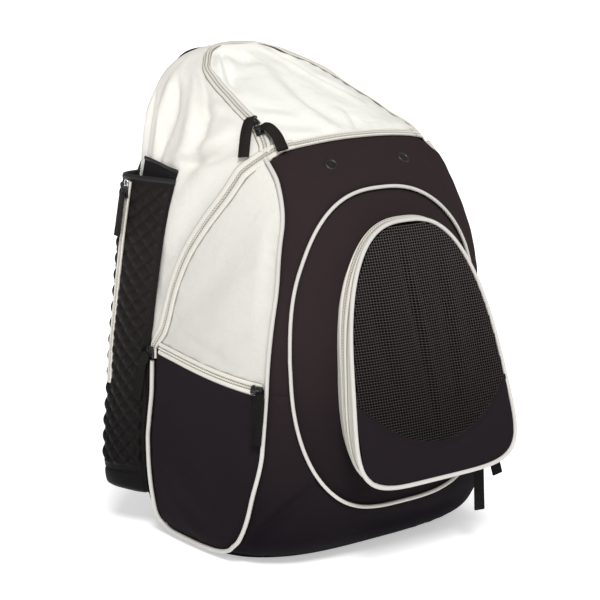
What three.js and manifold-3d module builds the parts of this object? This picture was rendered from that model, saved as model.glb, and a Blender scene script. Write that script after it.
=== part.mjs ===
// Bat backpack: sewn panels round a hollow body, front pocket, bat sleeves, zips and carrying straps.
// Millimetres, +Z up, -Y towards the front pocket, -X towards the wearer's left hand side.
import * as THREE from 'three';
import Module from 'manifold-3d';

const wasm = await Module();
wasm.setup();

// Cloth and gaps
const WALL = 2.2;
const GAP = 0.4;
const TRIM_LIFT = 0.9;
const RIM_GAP = 1;

// Heights of the body's seams
const TOP = 514;
const BASE_RIM = 6;
const SIDE_SPLIT = 212;
const LOWER_SEAM_FRONT = 190;
const LID_CORNER = 420;
const LID_FRONT_MIDDLE = 432.5;
const BACK_SEAM_TURN = 46;

// Horizontal sections of the body: half width, back, widest and front places, front and back squareness
const BODY = table(['z', 'half', 'back', 'widest', 'front', 'frontPower', 'backPower'], [
  [0, 146, 84, -20, -120, 3.2, 2.8],
  [8, 157, 97, -20, -142, 3.3, 2.8],
  [30, 168, 112, -18, -168, 3.4, 2.8],
  [90, 173, 123, -10, -187, 3.3, 2.8],
  [200, 171, 130, 5, -188, 3.0, 2.8],
  [310, 159, 135, 25, -182, 3.0, 2.9],
  [390, 140, 140, 45, -153, 3.0, 3.1],
  [425, 130, 141, 60, -120, 3.0, 3.2],
  [451, 120, 140, 75, -75, 2.8, 3.2],
  [472, 109, 137, 88, -20, 2.5, 3.2],
  [490, 93, 132, 98, 36, 2.4, 3.0],
  [505, 66, 126, 106, 82, 2.3, 2.6],
  [514, 34, 119, 108, 97, 2.2, 2.2],
]);

// Seam between the black front and the sides
const FRONT_SEAM = table(['z', 'y'], [
  [6, -84], [17, -95], [31, -112], [74, -131], [130, -140], [279, -140], [347, -133], [392, -114], [420, -86],
]);

// Front edge of the white upper side: the diagonal pocket zip, then the lid's side zip
const UPPER_EDGE = table(['z', 'y'], [
  [212, 20], [233, 4], [277, -8], [307, -20], [342, -41], [379, -65], [409, -79], [420, -86],
  [440, -65], [451, -43], [463, -14], [482, 34], [496, 69], [507, 93], [514, 104],
]);

// Back edge of the black lower pocket
const LOWER_BACK = table(['z', 'y'], [[6, 28], [35, 30], [106, 31], [130, 27], [166, 21], [212, 20]]);

// Soft dents and folds: turn and height of the middle, reach each way, depth
const FOLDS = [
  { turn: -24, z: 432, turnReach: 5, rise: 62, depth: 3.2 },
  { turn: -8, z: 428, turnReach: 5, rise: 48, depth: 2.8 },
  { turn: 8, z: 405, turnReach: 5, rise: 36, depth: 2.2 },
  { turn: 62, z: 478, turnReach: 9, rise: 17, depth: 3 },
  { turn: 112, z: 468, turnReach: 12, rise: 15, depth: 2.4 },
  { turn: 70, z: 42, turnReach: 10, rise: 14, depth: 2.2 },
];

// Rounded outlines on the front: middle, half width, sideways lean, then reach, squareness and taper
const INSERT = {
  middle: 221, half: 127.5, lean: -0.074,
  up: 164, upPower: 2.6, upTaper: -0.12,
  down: 160.5, downPower: 2.5, downTaper: 0,
};
const POCKET_FOOT = {
  middle: 219, half: 87, lean: 0,
  up: 137, upPower: 2.5, upTaper: 0,
  down: 137, downPower: 3, downTaper: 0,
};
const POCKET_RIM = {
  middle: 200, half: 98, lean: 0,
  up: 152, upPower: 2.75, upTaper: -0.117,
  down: 97, downPower: 5, downTaper: -0.117,
};
const INSERT_DOME = 6;
const FACE_DOME = 6;
const MESH_SEAM_MIDDLE = 139;
const MESH_SEAM_RISE = 48;

// Front pocket's face, seen from the side
const POCKET_FACE = table(['z', 'y'], [
  [60, -250], [90, -246], [186, -225], [290, -198], [355, -181], [380, -174],
]);

// Bat sleeve: front seam and back edge on the body, outermost line
const SLEEVE = table(['z', 'front', 'back', 'outer'], [
  [45, 38, 85, 174],
  [49, 37, 89, 187],
  [54, 37, 90.4, 191.5],
  [66, 37, 91, 193.5],
  [106, 37, 92, 192],
  [166, 28, 95, 185.1],
  [205, 26, 97, 180.6],
  [240, 21, 98, 176.6],
  [385, 15, 100, 160],
  [396, 14, 100, 158.7],
]);
const SLEEVE_SEAT = 1.2;
const SLEEVE_FLOOR = 54;
const SLEEVE_RIM = 384;
const SLEEVE_FLAP = 395;
const SLEEVE_CREST = 0.82;
const SLEEVE_STEPS = [0, 0.2, 0.45, 0.68, SLEEVE_CREST, 0.9, 0.96, 1];
const SLEEVE_FOOT_LEVELS = [45, 49];
const SLEEVE_LEVELS = [66, 106, 166, 240, 312];
const SLEEVE_ZIP = { across: 0.765, low: 164, high: 379, width: 7.5, lift: 4.3, slider: 368 };

// Trim sizes
const PIPING = { radius: 2.2, sides: 5 };
const SIDE_PIPING = { top: 409, corner: 18, foot: 9, backTop: 196 };
const ROUND_STEPS = 42;
const ZIP = { width: 13, narrow: 7, thick: 1.4 };
const LID_ZIP = { top: 507, low: 437 };
const SIDE_ZIP = { low: 200, high: 412, width: 12, footWidth: 8, slider: 205 };
const LOWER_ZIP = { from: 0.12, to: 0.97, width: 10, slider: 0.945, nose: 0.015 };
const SLIDER = { length: 12, width: 9, thick: 3.6, corner: 3 };
const PULL = { width: 11.5, thick: 1.8, length: 54 };
const SLEEVE_PULL = 46;
const POCKET_PULLS = [
  { angle: -0.86, drop: 58, gap: 3.5, swing: 3 },
  { angle: -0.66, drop: 50, gap: 4.3, swing: 16 },
];
const GROMMET = { outer: 6.8, inner: 3.6, thick: 1.8, middle: -9.5, apart: 46.5, z: 410, lift: -1.2 };

// Carrying straps on the back
const STRAP = { width: 62, thick: 11, corner: 4 };
const WEBBING = { width: 25, thick: 2.4, corner: 0.8 };
const BUCKLE = { width: 34, length: 30, thick: 5, corner: 1.5 };
const HAUL = { width: 22, thick: 3, corner: 1, half: 58, low: 462, high: 501, stand: 21 };

const COLOURS = {
  white: [0xe8e6e1, 0.55],
  cream: [0xe2dbd0, 0.7],
  black: [0x2b2729, 0.85],
  quilt: [0x1f1d1d, 0.7],
  mesh: [0x1c1b1c, 0.8],
  moulded: [0x141415, 0.4],
};

// Tables, curves and small helpers

function table(columns, rows) {
  return Object.fromEntries(columns.map((name, index) => [name, rows.map((row) => row[index])]));
}

function mix(from, to, share) {
  return from + (to - from) * share;
}

function shares(count) {
  return Array.from({ length: count + 1 }, (_, index) => index / count);
}

function toDegrees(angle) {
  return THREE.MathUtils.radToDeg(angle);
}

// Slope of a monotone cubic at one row of a table
function rowSlope(places, values, row) {
  const last = places.length - 1;
  const rise = (index) => (values[index + 1] - values[index]) / (places[index + 1] - places[index]);
  if (row === 0) return rise(0);
  if (row === last) return rise(last - 1);
  const before = rise(row - 1);
  const after = rise(row);
  if (before * after <= 0) return 0;
  const stepBefore = places[row] - places[row - 1];
  const stepAfter = places[row + 1] - places[row];
  const weightBefore = 2 * stepAfter + stepBefore;
  const weightAfter = stepAfter + 2 * stepBefore;
  return (weightBefore + weightAfter) / (weightBefore / before + weightAfter / after);
}

// Value of a table's column at any height, with no overshoot between rows
function read(rows, column, z) {
  const places = rows.z;
  const values = rows[column];
  const last = places.length - 1;
  const at = THREE.MathUtils.clamp(z, places[0], places[last]);
  let row = 0;
  while (row < last - 1 && at > places[row + 1]) row += 1;
  const step = places[row + 1] - places[row];
  const t = (at - places[row]) / step;
  const startSlope = rowSlope(places, values, row) * step;
  const endSlope = rowSlope(places, values, row + 1) * step;
  const ease = t * t * (3 - 2 * t);
  const curve = t * (1 - t) * (startSlope * (1 - t) - endSlope * t);
  return mix(values[row], values[row + 1], ease) + curve;
}

// The body's surface: a turn of 0 is the -X side, 90 the front, 180 the +X side, 270 the back

function bodySection(z) {
  const section = {};
  for (const column of Object.keys(BODY)) section[column] = read(BODY, column, z);
  return section;
}

function bodyPoint(turn, z) {
  const section = bodySection(z);
  const across = Math.cos(THREE.MathUtils.degToRad(turn));
  const along = Math.sin(THREE.MathUtils.degToRad(turn));
  const power = along >= 0 ? section.frontPower : section.backPower;
  const reach = (Math.abs(across) ** power + Math.abs(along) ** power) ** (-1 / power);
  const depth = along >= 0 ? section.widest - section.front : section.back - section.widest;
  return new THREE.Vector3(-section.half * across * reach, section.widest - depth * along * reach, z);
}

function bodyNormal(turn, z) {
  const step = 0.5;
  const low = Math.max(z - step, 0);
  const high = Math.min(z + step, TOP);
  const around = bodyPoint(turn + step, z).sub(bodyPoint(turn - step, z));
  const upward = bodyPoint(turn, high).sub(bodyPoint(turn, low));
  return around.cross(upward).normalize();
}

function bodyAt(turn, z, lift) {
  return bodyPoint(turn, z).addScaledVector(bodyNormal(turn, z), lift);
}

// How far the cloth sinks into its folds
function foldDepth(turn, z) {
  return FOLDS.reduce((depth, fold) => {
    const away = ((turn - fold.turn) / fold.turnReach) ** 2 + ((z - fold.z) / fold.rise) ** 2;
    return depth + fold.depth * Math.exp(-away);
  }, 0);
}

// Turn of the -X side's surface at a place along Y
function turnAtY(y, z) {
  const section = bodySection(z);
  const inFront = y < section.widest;
  const power = inFront ? section.frontPower : section.backPower;
  const depth = inFront ? section.widest - section.front : section.back - section.widest;
  const along = Math.min(Math.abs(section.widest - y) / depth, 1);
  const across = (1 - along ** power) ** (1 / power);
  return toDegrees(Math.atan2(along, across)) * (inFront ? 1 : -1);
}

// Turn of the front's surface at a place along X
function turnAtX(x, z) {
  const section = bodySection(z);
  const across = Math.min(Math.abs(x) / section.half, 1);
  const along = (1 - across ** section.frontPower) ** (1 / section.frontPower);
  const turn = toDegrees(Math.atan2(along, across));
  return x < 0 ? turn : 180 - turn;
}

function sideX(y, z) {
  return -bodyPoint(turnAtY(y, z), z).x;
}

// Turn that makes a small gap beside a seam
function gapTurn(z) {
  return toDegrees(GAP / 2 / read(BODY, 'half', z));
}

// Closed solids from grids of points

class SolidBuilder {
  constructor() {
    this.positions = [];
    this.indices = [];
    this.known = new Map();
  }

  vertex(point) {
    const key = point.toArray().map((value) => Math.round(value * 1e4)).join();
    if (!this.known.has(key)) {
      this.known.set(key, this.positions.length / 3);
      this.positions.push(point.x, point.y, point.z);
    }
    return this.known.get(key);
  }

  triangle(a, b, c) {
    const corners = [a, b, c].map((point) => this.vertex(point));
    if (new Set(corners).size === 3) this.indices.push(...corners);
  }

  quad(a, b, c, d) {
    this.triangle(a, b, c);
    this.triangle(a, c, d);
  }

  geometry() {
    const shape = new THREE.BufferGeometry();
    shape.setAttribute('position', new THREE.Float32BufferAttribute(this.positions, 3));
    shape.setIndex(this.indices);
    return facingOut(shape);
  }
}

function signedVolume(shape) {
  const corner = (index) => new THREE.Vector3().fromBufferAttribute(shape.attributes.position, index);
  const order = shape.index.array;
  let volume = 0;
  for (let i = 0; i < order.length; i += 3) {
    volume += corner(order[i]).dot(corner(order[i + 1]).cross(corner(order[i + 2]))) / 6;
  }
  return volume;
}

function facingOut(shape) {
  if (signedVolume(shape) < 0) {
    const order = shape.index.array;
    for (let i = 0; i < order.length; i += 3) [order[i], order[i + 1]] = [order[i + 1], order[i]];
  }
  return shape;
}

// Solid between an outer and an inner grid of points, closed round its edges
function gridSolid(outer, inner, closedRound = false) {
  const solid = new SolidBuilder();
  const columns = outer.length;
  const rows = outer[0].length;
  const lastColumn = closedRound ? columns : columns - 1;
  for (let i = 0; i < lastColumn; i += 1) {
    const next = (i + 1) % columns;
    for (let j = 0; j < rows - 1; j += 1) {
      solid.quad(outer[i][j], outer[next][j], outer[next][j + 1], outer[i][j + 1]);
      solid.quad(inner[i][j], inner[i][j + 1], inner[next][j + 1], inner[next][j]);
    }
    solid.quad(outer[i][0], inner[i][0], inner[next][0], outer[next][0]);
    solid.quad(outer[i][rows - 1], outer[next][rows - 1], inner[next][rows - 1], inner[i][rows - 1]);
  }
  if (!closedRound) {
    for (let j = 0; j < rows - 1; j += 1) {
      const end = columns - 1;
      solid.quad(outer[0][j], outer[0][j + 1], inner[0][j + 1], inner[0][j]);
      solid.quad(outer[end][j], inner[end][j], inner[end][j + 1], outer[end][j + 1]);
    }
  }
  return solid.geometry();
}

// Sewn panel: a grid of turns and heights on the body's surface, thickened inwards
function panel(acrossShares, upShares, place) {
  const layer = (lift) => acrossShares.map((s) => upShares.map((t) => {
    const { turn, z } = place(s, t);
    return bodyAt(turn, z, lift - foldDepth(turn, z));
  }));
  return gridSolid(layer(0), layer(-WALL));
}

// Solid of a section swept along a path of frames
function sweep(frames, section, closed = false) {
  const rings = frames.map(({ point, side, normal }, index) => section(index / (frames.length - 1)).map(
    ([across, up]) => point.clone().addScaledVector(side, across).addScaledVector(normal, up),
  ));
  const solid = new SolidBuilder();
  const count = rings[0].length;
  const runs = closed ? rings.length : rings.length - 1;
  for (let i = 0; i < runs; i += 1) {
    const next = rings[(i + 1) % rings.length];
    for (let j = 0; j < count; j += 1) {
      const after = (j + 1) % count;
      solid.quad(rings[i][j], rings[i][after], next[after], next[j]);
    }
  }
  if (!closed) {
    const end = rings[rings.length - 1];
    for (let j = 1; j < count - 1; j += 1) {
      solid.triangle(rings[0][0], rings[0][j + 1], rings[0][j]);
      solid.triangle(end[0], end[j], end[j + 1]);
    }
  }
  return solid.geometry();
}

function roundSection({ radius, sides }) {
  const ring = Array.from({ length: sides }, (_, index) => {
    const angle = (index / sides) * 2 * Math.PI;
    return [radius * Math.cos(angle), radius * Math.sin(angle)];
  });
  return () => ring;
}

// Flat section that stands on the path, with its width along the side direction
function flatSection(widthAt, thick) {
  return (share) => {
    const half = widthAt(share) / 2;
    return [[-half, 0], [half, 0], [half, thick], [-half, thick]];
  };
}

// Flat section with cut corners, centred on the path
function paddedSection({ width, thick, corner }) {
  const x = width / 2;
  const y = thick / 2;
  const ring = [
    [x - corner, -y], [x, corner - y], [x, y - corner], [x - corner, y],
    [corner - x, y], [-x, y - corner], [-x, corner - y], [corner - x, -y],
  ];
  return () => ring;
}

// Frames along points, each with a direction that faces out
function framesAlong(points, normals, closed = false) {
  const last = points.length - 1;
  return points.map((point, index) => {
    const before = points[closed ? (index + last) % (last + 1) : Math.max(index - 1, 0)];
    const after = points[closed ? (index + 1) % (last + 1) : Math.min(index + 1, last)];
    const tangent = after.clone().sub(before).normalize();
    const side = tangent.clone().cross(normals[index]).normalize();
    return { point, side, normal: side.clone().cross(tangent).normalize(), tangent };
  });
}

// Frames along a line of turns and heights on the body
function bodyFrames(places, lift) {
  const points = places.map(({ turn, z }) => bodyAt(turn, z, lift));
  return framesAlong(points, places.map(({ turn, z }) => bodyNormal(turn, z)));
}

// Even steps along a curve through a few points
function curvePoints(points, steps) {
  return new THREE.CatmullRomCurve3(points, false, 'centripetal').getSpacedPoints(steps);
}

function toManifold(shape) {
  return new wasm.Manifold(new wasm.Mesh({
    numProp: 3,
    vertProperties: Float32Array.from(shape.attributes.position.array),
    triVerts: Uint32Array.from(shape.index.array),
  }));
}

function fromManifold(solid) {
  const mesh = solid.getMesh();
  const shape = new THREE.BufferGeometry();
  shape.setAttribute('position', new THREE.Float32BufferAttribute(mesh.vertProperties, 3));
  shape.setIndex(Array.from(mesh.triVerts));
  return shape;
}

function mirrored(shape) {
  return facingOut(shape.clone().scale(-1, 1, 1));
}

// Outlines on the front: a point at an angle, grown by a margin

function outlineLean(outline, z) {
  return outline.lean * Math.max(z - outline.middle, 0);
}

function outlinePoint(outline, angle, margin = 0, share = 1) {
  const across = Math.cos(angle);
  const up = Math.sin(angle);
  const power = up >= 0 ? outline.upPower : outline.downPower;
  const reach = share * (Math.abs(across) ** power + Math.abs(up) ** power) ** (-1 / power);
  const height = up >= 0 ? outline.up : outline.down;
  const z = outline.middle + (height + margin) * up * reach;
  const taper = up >= 0 ? outline.upTaper : outline.downTaper;
  const half = outline.half + margin + taper * (z - outline.middle);
  return { x: outlineLean(outline, z) + half * across * reach, z };
}

function angles(count) {
  return Array.from({ length: count }, (_, index) => (index / count) * 2 * Math.PI);
}

// Share of the way from an outline's middle to its edge
function outlineShare(outline, x, z) {
  const above = z - outline.middle;
  const up = above / (above >= 0 ? outline.up : outline.down);
  const half = outline.half + (above >= 0 ? outline.upTaper : outline.downTaper) * above;
  const across = (x - outlineLean(outline, z)) / half;
  const power = up >= 0 ? outline.upPower : outline.downPower;
  return (Math.abs(across) ** power + Math.abs(up) ** power) ** (1 / power);
}

function frontAt({ x, z }, lift) {
  return bodyAt(turnAtX(x, z), z, lift);
}

// Lift of the domed oval panel above the body's form
function insertLift(x, z) {
  const share = Math.min(outlineShare(INSERT, x, z), 1);
  return INSERT_DOME * (1 - share * share);
}

function faceY(x, z) {
  const share = Math.min(outlineShare(POCKET_RIM, x, z), 1);
  return read(POCKET_FACE, 'y', z) - FACE_DOME * (1 - share * share);
}

// Levels that neighbouring panels share along their seams
const LOWER_SHARES = shares(6);
const MIDDLE_SHARES = shares(7);
const LID_SHARES = shares(7);
const LOWER_LEVELS = LOWER_SHARES.map((t) => mix(BASE_RIM + RIM_GAP, SIDE_SPLIT - GAP / 2, t));
const UPPER_LEVELS = [
  ...MIDDLE_SHARES.map((t) => mix(SIDE_SPLIT + GAP / 2, LID_CORNER, t)),
  ...LID_SHARES.slice(1).map((t) => mix(LID_CORNER, TOP - GAP / 2, t)),
];

function frontSeamTurn(z) {
  return turnAtY(read(FRONT_SEAM, 'y', z), z);
}

function upperEdgeTurn(z) {
  return turnAtY(read(UPPER_EDGE, 'y', z), z);
}

function lowerBackTurn(z) {
  return turnAtY(read(LOWER_BACK, 'y', z), z);
}

// Height of the seam between the white side pocket and the black lower pocket
function lowerSeam(s) {
  return SIDE_SPLIT - (SIDE_SPLIT - LOWER_SEAM_FRONT) * s ** 1.3;
}

// Height of the lid's front edge, from one side at 0 to the other at 1
function lidEdge(s) {
  return LID_FRONT_MIDDLE - (LID_FRONT_MIDDLE - LID_CORNER) * Math.abs(2 * s - 1) ** 2.6;
}

// Body panels

function basePanel() {
  const spokes = shares(28).slice(0, -1);
  const centre = new THREE.Vector3(0, read(BODY, 'widest', 0), 0);
  const floorShares = [0, 0.5, 1];
  const rimShares = [0.5, 1];
  const outer = spokes.map((s) => {
    const edge = bodyPoint(s * 360, 0);
    const floor = floorShares.map((t) => centre.clone().lerp(edge, t));
    return [...floor, ...rimShares.map((t) => bodyPoint(s * 360, t * BASE_RIM))];
  });
  const lifted = new THREE.Vector3(0, 0, WALL);
  const inner = spokes.map((s) => {
    const edge = bodyAt(s * 360, 0, -WALL).setZ(0);
    const floor = floorShares.map((t) => centre.clone().lerp(edge, t).add(lifted));
    const rim = rimShares.map((t) => bodyAt(s * 360, t * BASE_RIM, -WALL));
    return [...floor, ...rim.map((point) => point.setZ(Math.max(point.z, WALL)))];
  });
  return gridSolid(outer, inner, true);
}

function backPanel() {
  const levels = [...LOWER_LEVELS, ...UPPER_LEVELS.slice(1)];
  return panel(shares(6), levels, (s, z) => {
    const seam = BACK_SEAM_TURN + gapTurn(z);
    return { turn: mix(180 + seam, 360 - seam, s), z };
  });
}

function sideUpper() {
  return panel(shares(7), UPPER_LEVELS, (s, z) => {
    const turn = mix(-BACK_SEAM_TURN + gapTurn(z), upperEdgeTurn(z) - gapTurn(z), s);
    return { turn, z };
  });
}

function sidePocket() {
  const tipShare = 0.98;
  const steps = [...MIDDLE_SHARES.slice(0, -1), tipShare];
  const before = MIDDLE_SHARES[MIDDLE_SHARES.length - 2];
  const onSeams = (s, t) => {
    const z = mix(lowerSeam(s) + GAP / 2, LID_CORNER, t);
    const turn = mix(upperEdgeTurn(z) + gapTurn(z), frontSeamTurn(z) - gapTurn(z), s);
    return { turn, z };
  };
  return panel(shares(6), steps, (s, t) => {
    if (t <= before) return onSeams(s, t);
    const start = onSeams(s, before);
    const end = onSeams(s, 1);
    const share = (t - before) / (1 - before);
    return { turn: mix(start.turn, end.turn, share), z: mix(start.z, end.z, share) };
  });
}

function lowerPocket() {
  return panel(shares(8), LOWER_SHARES, (s, t) => {
    const z = mix(BASE_RIM + RIM_GAP, lowerSeam(s) - GAP / 2, t);
    const turn = mix(lowerBackTurn(z) + gapTurn(z), frontSeamTurn(z) - gapTurn(z), s);
    return { turn, z };
  });
}

function rearCorner() {
  return panel(shares(4), LOWER_LEVELS, (s, z) => {
    const turn = mix(-BACK_SEAM_TURN + gapTurn(z), lowerBackTurn(z) - gapTurn(z), s);
    return { turn, z };
  });
}

// Black front with the oval opening for the domed panel
function frontPanel() {
  const split = (LOWER_SEAM_FRONT - BASE_RIM) / (LID_CORNER - BASE_RIM);
  const upShares = [
    ...LOWER_SHARES.map((t) => t * split),
    ...MIDDLE_SHARES.slice(1).map((t) => mix(split, 1, t)),
  ];
  const whole = panel(shares(12), upShares, (s, t) => {
    const z = mix(BASE_RIM + RIM_GAP, lidEdge(s) - GAP / 2, t);
    const seam = frontSeamTurn(Math.min(z, LID_CORNER)) + gapTurn(z);
    return { turn: mix(seam, 180 - seam, s), z };
  });
  const cutDepth = 9;
  const layer = (lift) => angles(36).map((angle) => [0, 0.55, 1].map(
    (share) => frontAt(outlinePoint(INSERT, angle, GAP, share), lift),
  ));
  const cutter = gridSolid(layer(cutDepth), layer(-cutDepth), true);
  return fromManifold(toManifold(whole).subtract(toManifold(cutter)));
}

function frontInsert() {
  const layer = (sink) => angles(36).map((angle) => [0, 0.45, 0.8, 1].map((share) => {
    const place = outlinePoint(INSERT, angle, -GAP / 2, share);
    return frontAt(place, insertLift(place.x, place.z) - sink);
  }));
  return gridSolid(layer(0), layer(WALL), true);
}

// Lid from the front edge over to the top of the back
function topLid() {
  const capShares = [0.5, 1];
  const capScale = 0.7;
  const place = (s, t) => {
    const z = mix(lidEdge(s) + GAP / 2, TOP, t);
    const level = mix(LID_CORNER, TOP, t);
    const edge = upperEdgeTurn(level) + gapTurn(level);
    return { turn: mix(edge, 180 - edge, s), z };
  };
  const capPoint = (s, t) => {
    const { turn, z } = place(s, 1);
    const front = bodyPoint(turn, z);
    const middle = new THREE.Vector3(0, read(BODY, 'widest', z), z);
    const back = bodyPoint(-turn, z).sub(middle).multiplyScalar(capScale).add(middle);
    return front.lerp(back, t);
  };
  const column = (s, sink) => {
    const slope = LID_SHARES.map((t) => {
      const { turn, z } = place(s, t);
      return bodyAt(turn, z, -sink - foldDepth(turn, z));
    });
    const cap = capShares.map((t) => capPoint(s, t).sub(new THREE.Vector3(0, 0, sink)));
    return [...slope, ...cap];
  };
  return gridSolid(shares(12).map((s) => column(s, 0)), shares(12).map((s) => column(s, WALL)));
}

// Front pocket

function pocketGusset() {
  const ring = (margin) => angles(36).map((angle) => {
    const foot = outlinePoint(POCKET_FOOT, angle, margin);
    const rim = outlinePoint(POCKET_RIM, angle, margin);
    const seat = frontAt(foot, insertLift(foot.x, foot.z) + GAP + TRIM_LIFT / 2);
    const edge = new THREE.Vector3(rim.x, read(POCKET_FACE, 'y', rim.z) + GAP, rim.z);
    return [0, 0.5, 1].map((t) => seat.clone().lerp(edge, t));
  });
  return gridSolid(ring(0), ring(-WALL), true);
}

function pocketFace() {
  const layer = (sink) => angles(36).map((angle) => [0, 0.55, 1].map((share) => {
    const { x, z } = outlinePoint(POCKET_RIM, angle, 0, share);
    return new THREE.Vector3(x, faceY(x, z) - WALL + sink, z);
  }));
  return gridSolid(layer(0), layer(WALL), true);
}

// Block on one side of the curved seam that divides the pocket's face
function seamBlock(direction) {
  const reach = 130;
  const depth = 120;
  const farZ = MESH_SEAM_MIDDLE + direction * 300;
  const shape = new THREE.Shape();
  shape.moveTo(-reach, farZ);
  for (const s of shares(12)) {
    const x = mix(-reach, reach, s);
    const seam = MESH_SEAM_MIDDLE + MESH_SEAM_RISE * (x / POCKET_RIM.half) ** 2;
    shape.lineTo(x, seam + (direction * GAP) / 2);
  }
  shape.lineTo(reach, farZ);
  const block = new THREE.ExtrudeGeometry(shape, { depth, bevelEnabled: false, steps: 1 });
  block.rotateX(Math.PI / 2);
  block.translate(0, read(POCKET_FACE, 'y', SIDE_SPLIT) + depth / 2, 0);
  return welded(block);
}

function welded(shape) {
  const solid = new SolidBuilder();
  const positions = shape.attributes.position;
  const inOrder = Array.from({ length: positions.count }, (_, index) => index);
  const order = shape.index ? shape.index.array : inOrder;
  const corner = (index) => new THREE.Vector3().fromBufferAttribute(positions, index);
  for (let i = 0; i < order.length; i += 3) {
    solid.triangle(corner(order[i]), corner(order[i + 1]), corner(order[i + 2]));
  }
  return solid.geometry();
}

function faceSide(direction) {
  return fromManifold(toManifold(pocketFace()).intersect(toManifold(seamBlock(direction))));
}

// Bat sleeve on the -X side: a tapered pouch with an open top and a taller flap against the body

function sleeveLift(q, z) {
  const crestY = mix(read(SLEEVE, 'front', z), read(SLEEVE, 'back', z), SLEEVE_CREST);
  const full = read(SLEEVE, 'outer', z) - sideX(crestY, z);
  if (q <= SLEEVE_CREST) return full * (q / SLEEVE_CREST) ** 0.85;
  const past = (q - SLEEVE_CREST) / (1 - SLEEVE_CREST);
  return full * Math.sqrt(Math.max(1 - past * past, 0));
}

function sleevePoint(q, z, lift) {
  const y = mix(read(SLEEVE, 'front', z), read(SLEEVE, 'back', z), q);
  return new THREE.Vector3(-sideX(y, z) - lift, y, z);
}

const SLEEVE_OUT = new THREE.Vector3(-0.98, 0.18, 0).normalize();

// Grid of a layer of the sleeve, with its lift off the body at each place
function sleeveLayer(steps, levels, liftAt) {
  return steps.map((q) => levels.map((z) => sleevePoint(q, z, liftAt(q, z))));
}

function batSleeve() {
  const backing = () => SLEEVE_SEAT;
  const lining = () => SLEEVE_SEAT + WALL;
  const skin = (q, z) => SLEEVE_SEAT + WALL + sleeveLift(q, z);
  const within = (q, z) => {
    const room = sleeveLift(q, Math.min(z, SLEEVE_RIM)) - WALL * 0.6;
    return SLEEVE_SEAT + Math.max(room, WALL + GAP);
  };
  const levels = [...SLEEVE_FOOT_LEVELS, SLEEVE_FLOOR, ...SLEEVE_LEVELS, SLEEVE_RIM];
  const whole = gridSolid(
    sleeveLayer(SLEEVE_STEPS, levels, skin),
    sleeveLayer(SLEEVE_STEPS, levels, backing),
  );
  const insideSteps = [0.2, 0.45, 0.68, SLEEVE_CREST, 0.9, 0.94];
  const insideLevels = [SLEEVE_FLOOR, ...SLEEVE_LEVELS, SLEEVE_RIM + 20];
  const hollow = gridSolid(
    sleeveLayer(insideSteps, insideLevels, within),
    sleeveLayer(insideSteps, insideLevels, lining),
  );
  const flapSteps = [0.02, 0.25, 0.5, 0.75, 0.96];
  const flapLevels = [SLEEVE_RIM - 20, SLEEVE_RIM, SLEEVE_FLAP];
  const flap = gridSolid(
    sleeveLayer(flapSteps, flapLevels, lining),
    sleeveLayer(flapSteps, flapLevels, backing),
  );
  const pouch = toManifold(whole).subtract(toManifold(hollow));
  return fromManifold(pouch.add(toManifold(flap)));
}

// Piping and zips

function sidePipingPlaces() {
  const { top, corner, foot, backTop } = SIDE_PIPING;
  const down = shares(18).map((t) => mix(top, corner, t)).map((z) => ({ turn: frontSeamTurn(z), z }));
  const along = [0.06, 0.16, 0.33, 0.5, 0.67, 0.84, 0.94].map((t) => ({
    turn: mix(frontSeamTurn(corner), lowerBackTurn(corner), t),
    z: mix(foot, mix(foot, corner, 0.55), Math.abs(2 * t - 1) ** 6),
  }));
  const up = shares(9).map((t) => mix(corner, backTop, t)).map((z) => ({ turn: lowerBackTurn(z), z }));
  return [...down, ...along, ...up];
}

function sidePiping() {
  return sweep(bodyFrames(sidePipingPlaces(), PIPING.radius + TRIM_LIFT), roundSection(PIPING));
}

function outlineTube(points) {
  const outward = points.map(() => new THREE.Vector3(0, -1, 0));
  return sweep(framesAlong(points, outward, true), roundSection(PIPING), true);
}

function insertPiping() {
  const lift = PIPING.radius + TRIM_LIFT;
  return outlineTube(angles(ROUND_STEPS).map((angle) => frontAt(outlinePoint(INSERT, angle), lift)));
}

function pocketPiping() {
  const margin = PIPING.radius + GAP * 1.5;
  const points = angles(ROUND_STEPS).map((angle) => {
    const { x, z } = outlinePoint(POCKET_RIM, angle, margin);
    return new THREE.Vector3(x, read(POCKET_FACE, 'y', z) - WALL / 2, z);
  });
  return outlineTube(points);
}

function bodyZip(places, widthAt) {
  return sweep(bodyFrames(places, TRIM_LIFT), flatSection(widthAt, ZIP.thick));
}

// Lid zip: up both sides and along the front edge as one ribbon
function lidZip() {
  const { top, low } = LID_ZIP;
  const side = shares(12).map((t) => mix(top, low, t)).map((z) => ({ turn: upperEdgeTurn(z), z }));
  const corner = [
    { turn: upperEdgeTurn(low - 7) + 1.5, z: low - 7 },
    { turn: upperEdgeTurn(low - 11) + 5, z: low - 10 },
  ];
  const cornerTurn = upperEdgeTurn(LID_CORNER);
  const front = shares(9).slice(1).map((t) => {
    const s = mix(0.06, 0.5, t);
    return { turn: mix(cornerTurn, 180 - cornerTurn, s), z: lidEdge(s) + 1 };
  });
  const half = [...side, ...corner, ...front];
  const others = half.slice(0, -1).reverse().map(({ turn, z }) => ({ turn: 180 - turn, z }));
  const places = [...half, ...others];
  const widthAt = (share) => {
    const fromMiddle = Math.abs(2 * share - 1);
    return mix(ZIP.narrow, ZIP.width, THREE.MathUtils.smoothstep(fromMiddle, 0.3, 0.5));
  };
  return bodyZip(places, widthAt);
}

// Diagonal zip: along the white side's edge, and at its foot a little way down the lower pocket's back edge
function sideZipTurn(z) {
  return z >= SIDE_SPLIT ? upperEdgeTurn(z) : lowerBackTurn(z);
}

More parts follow.
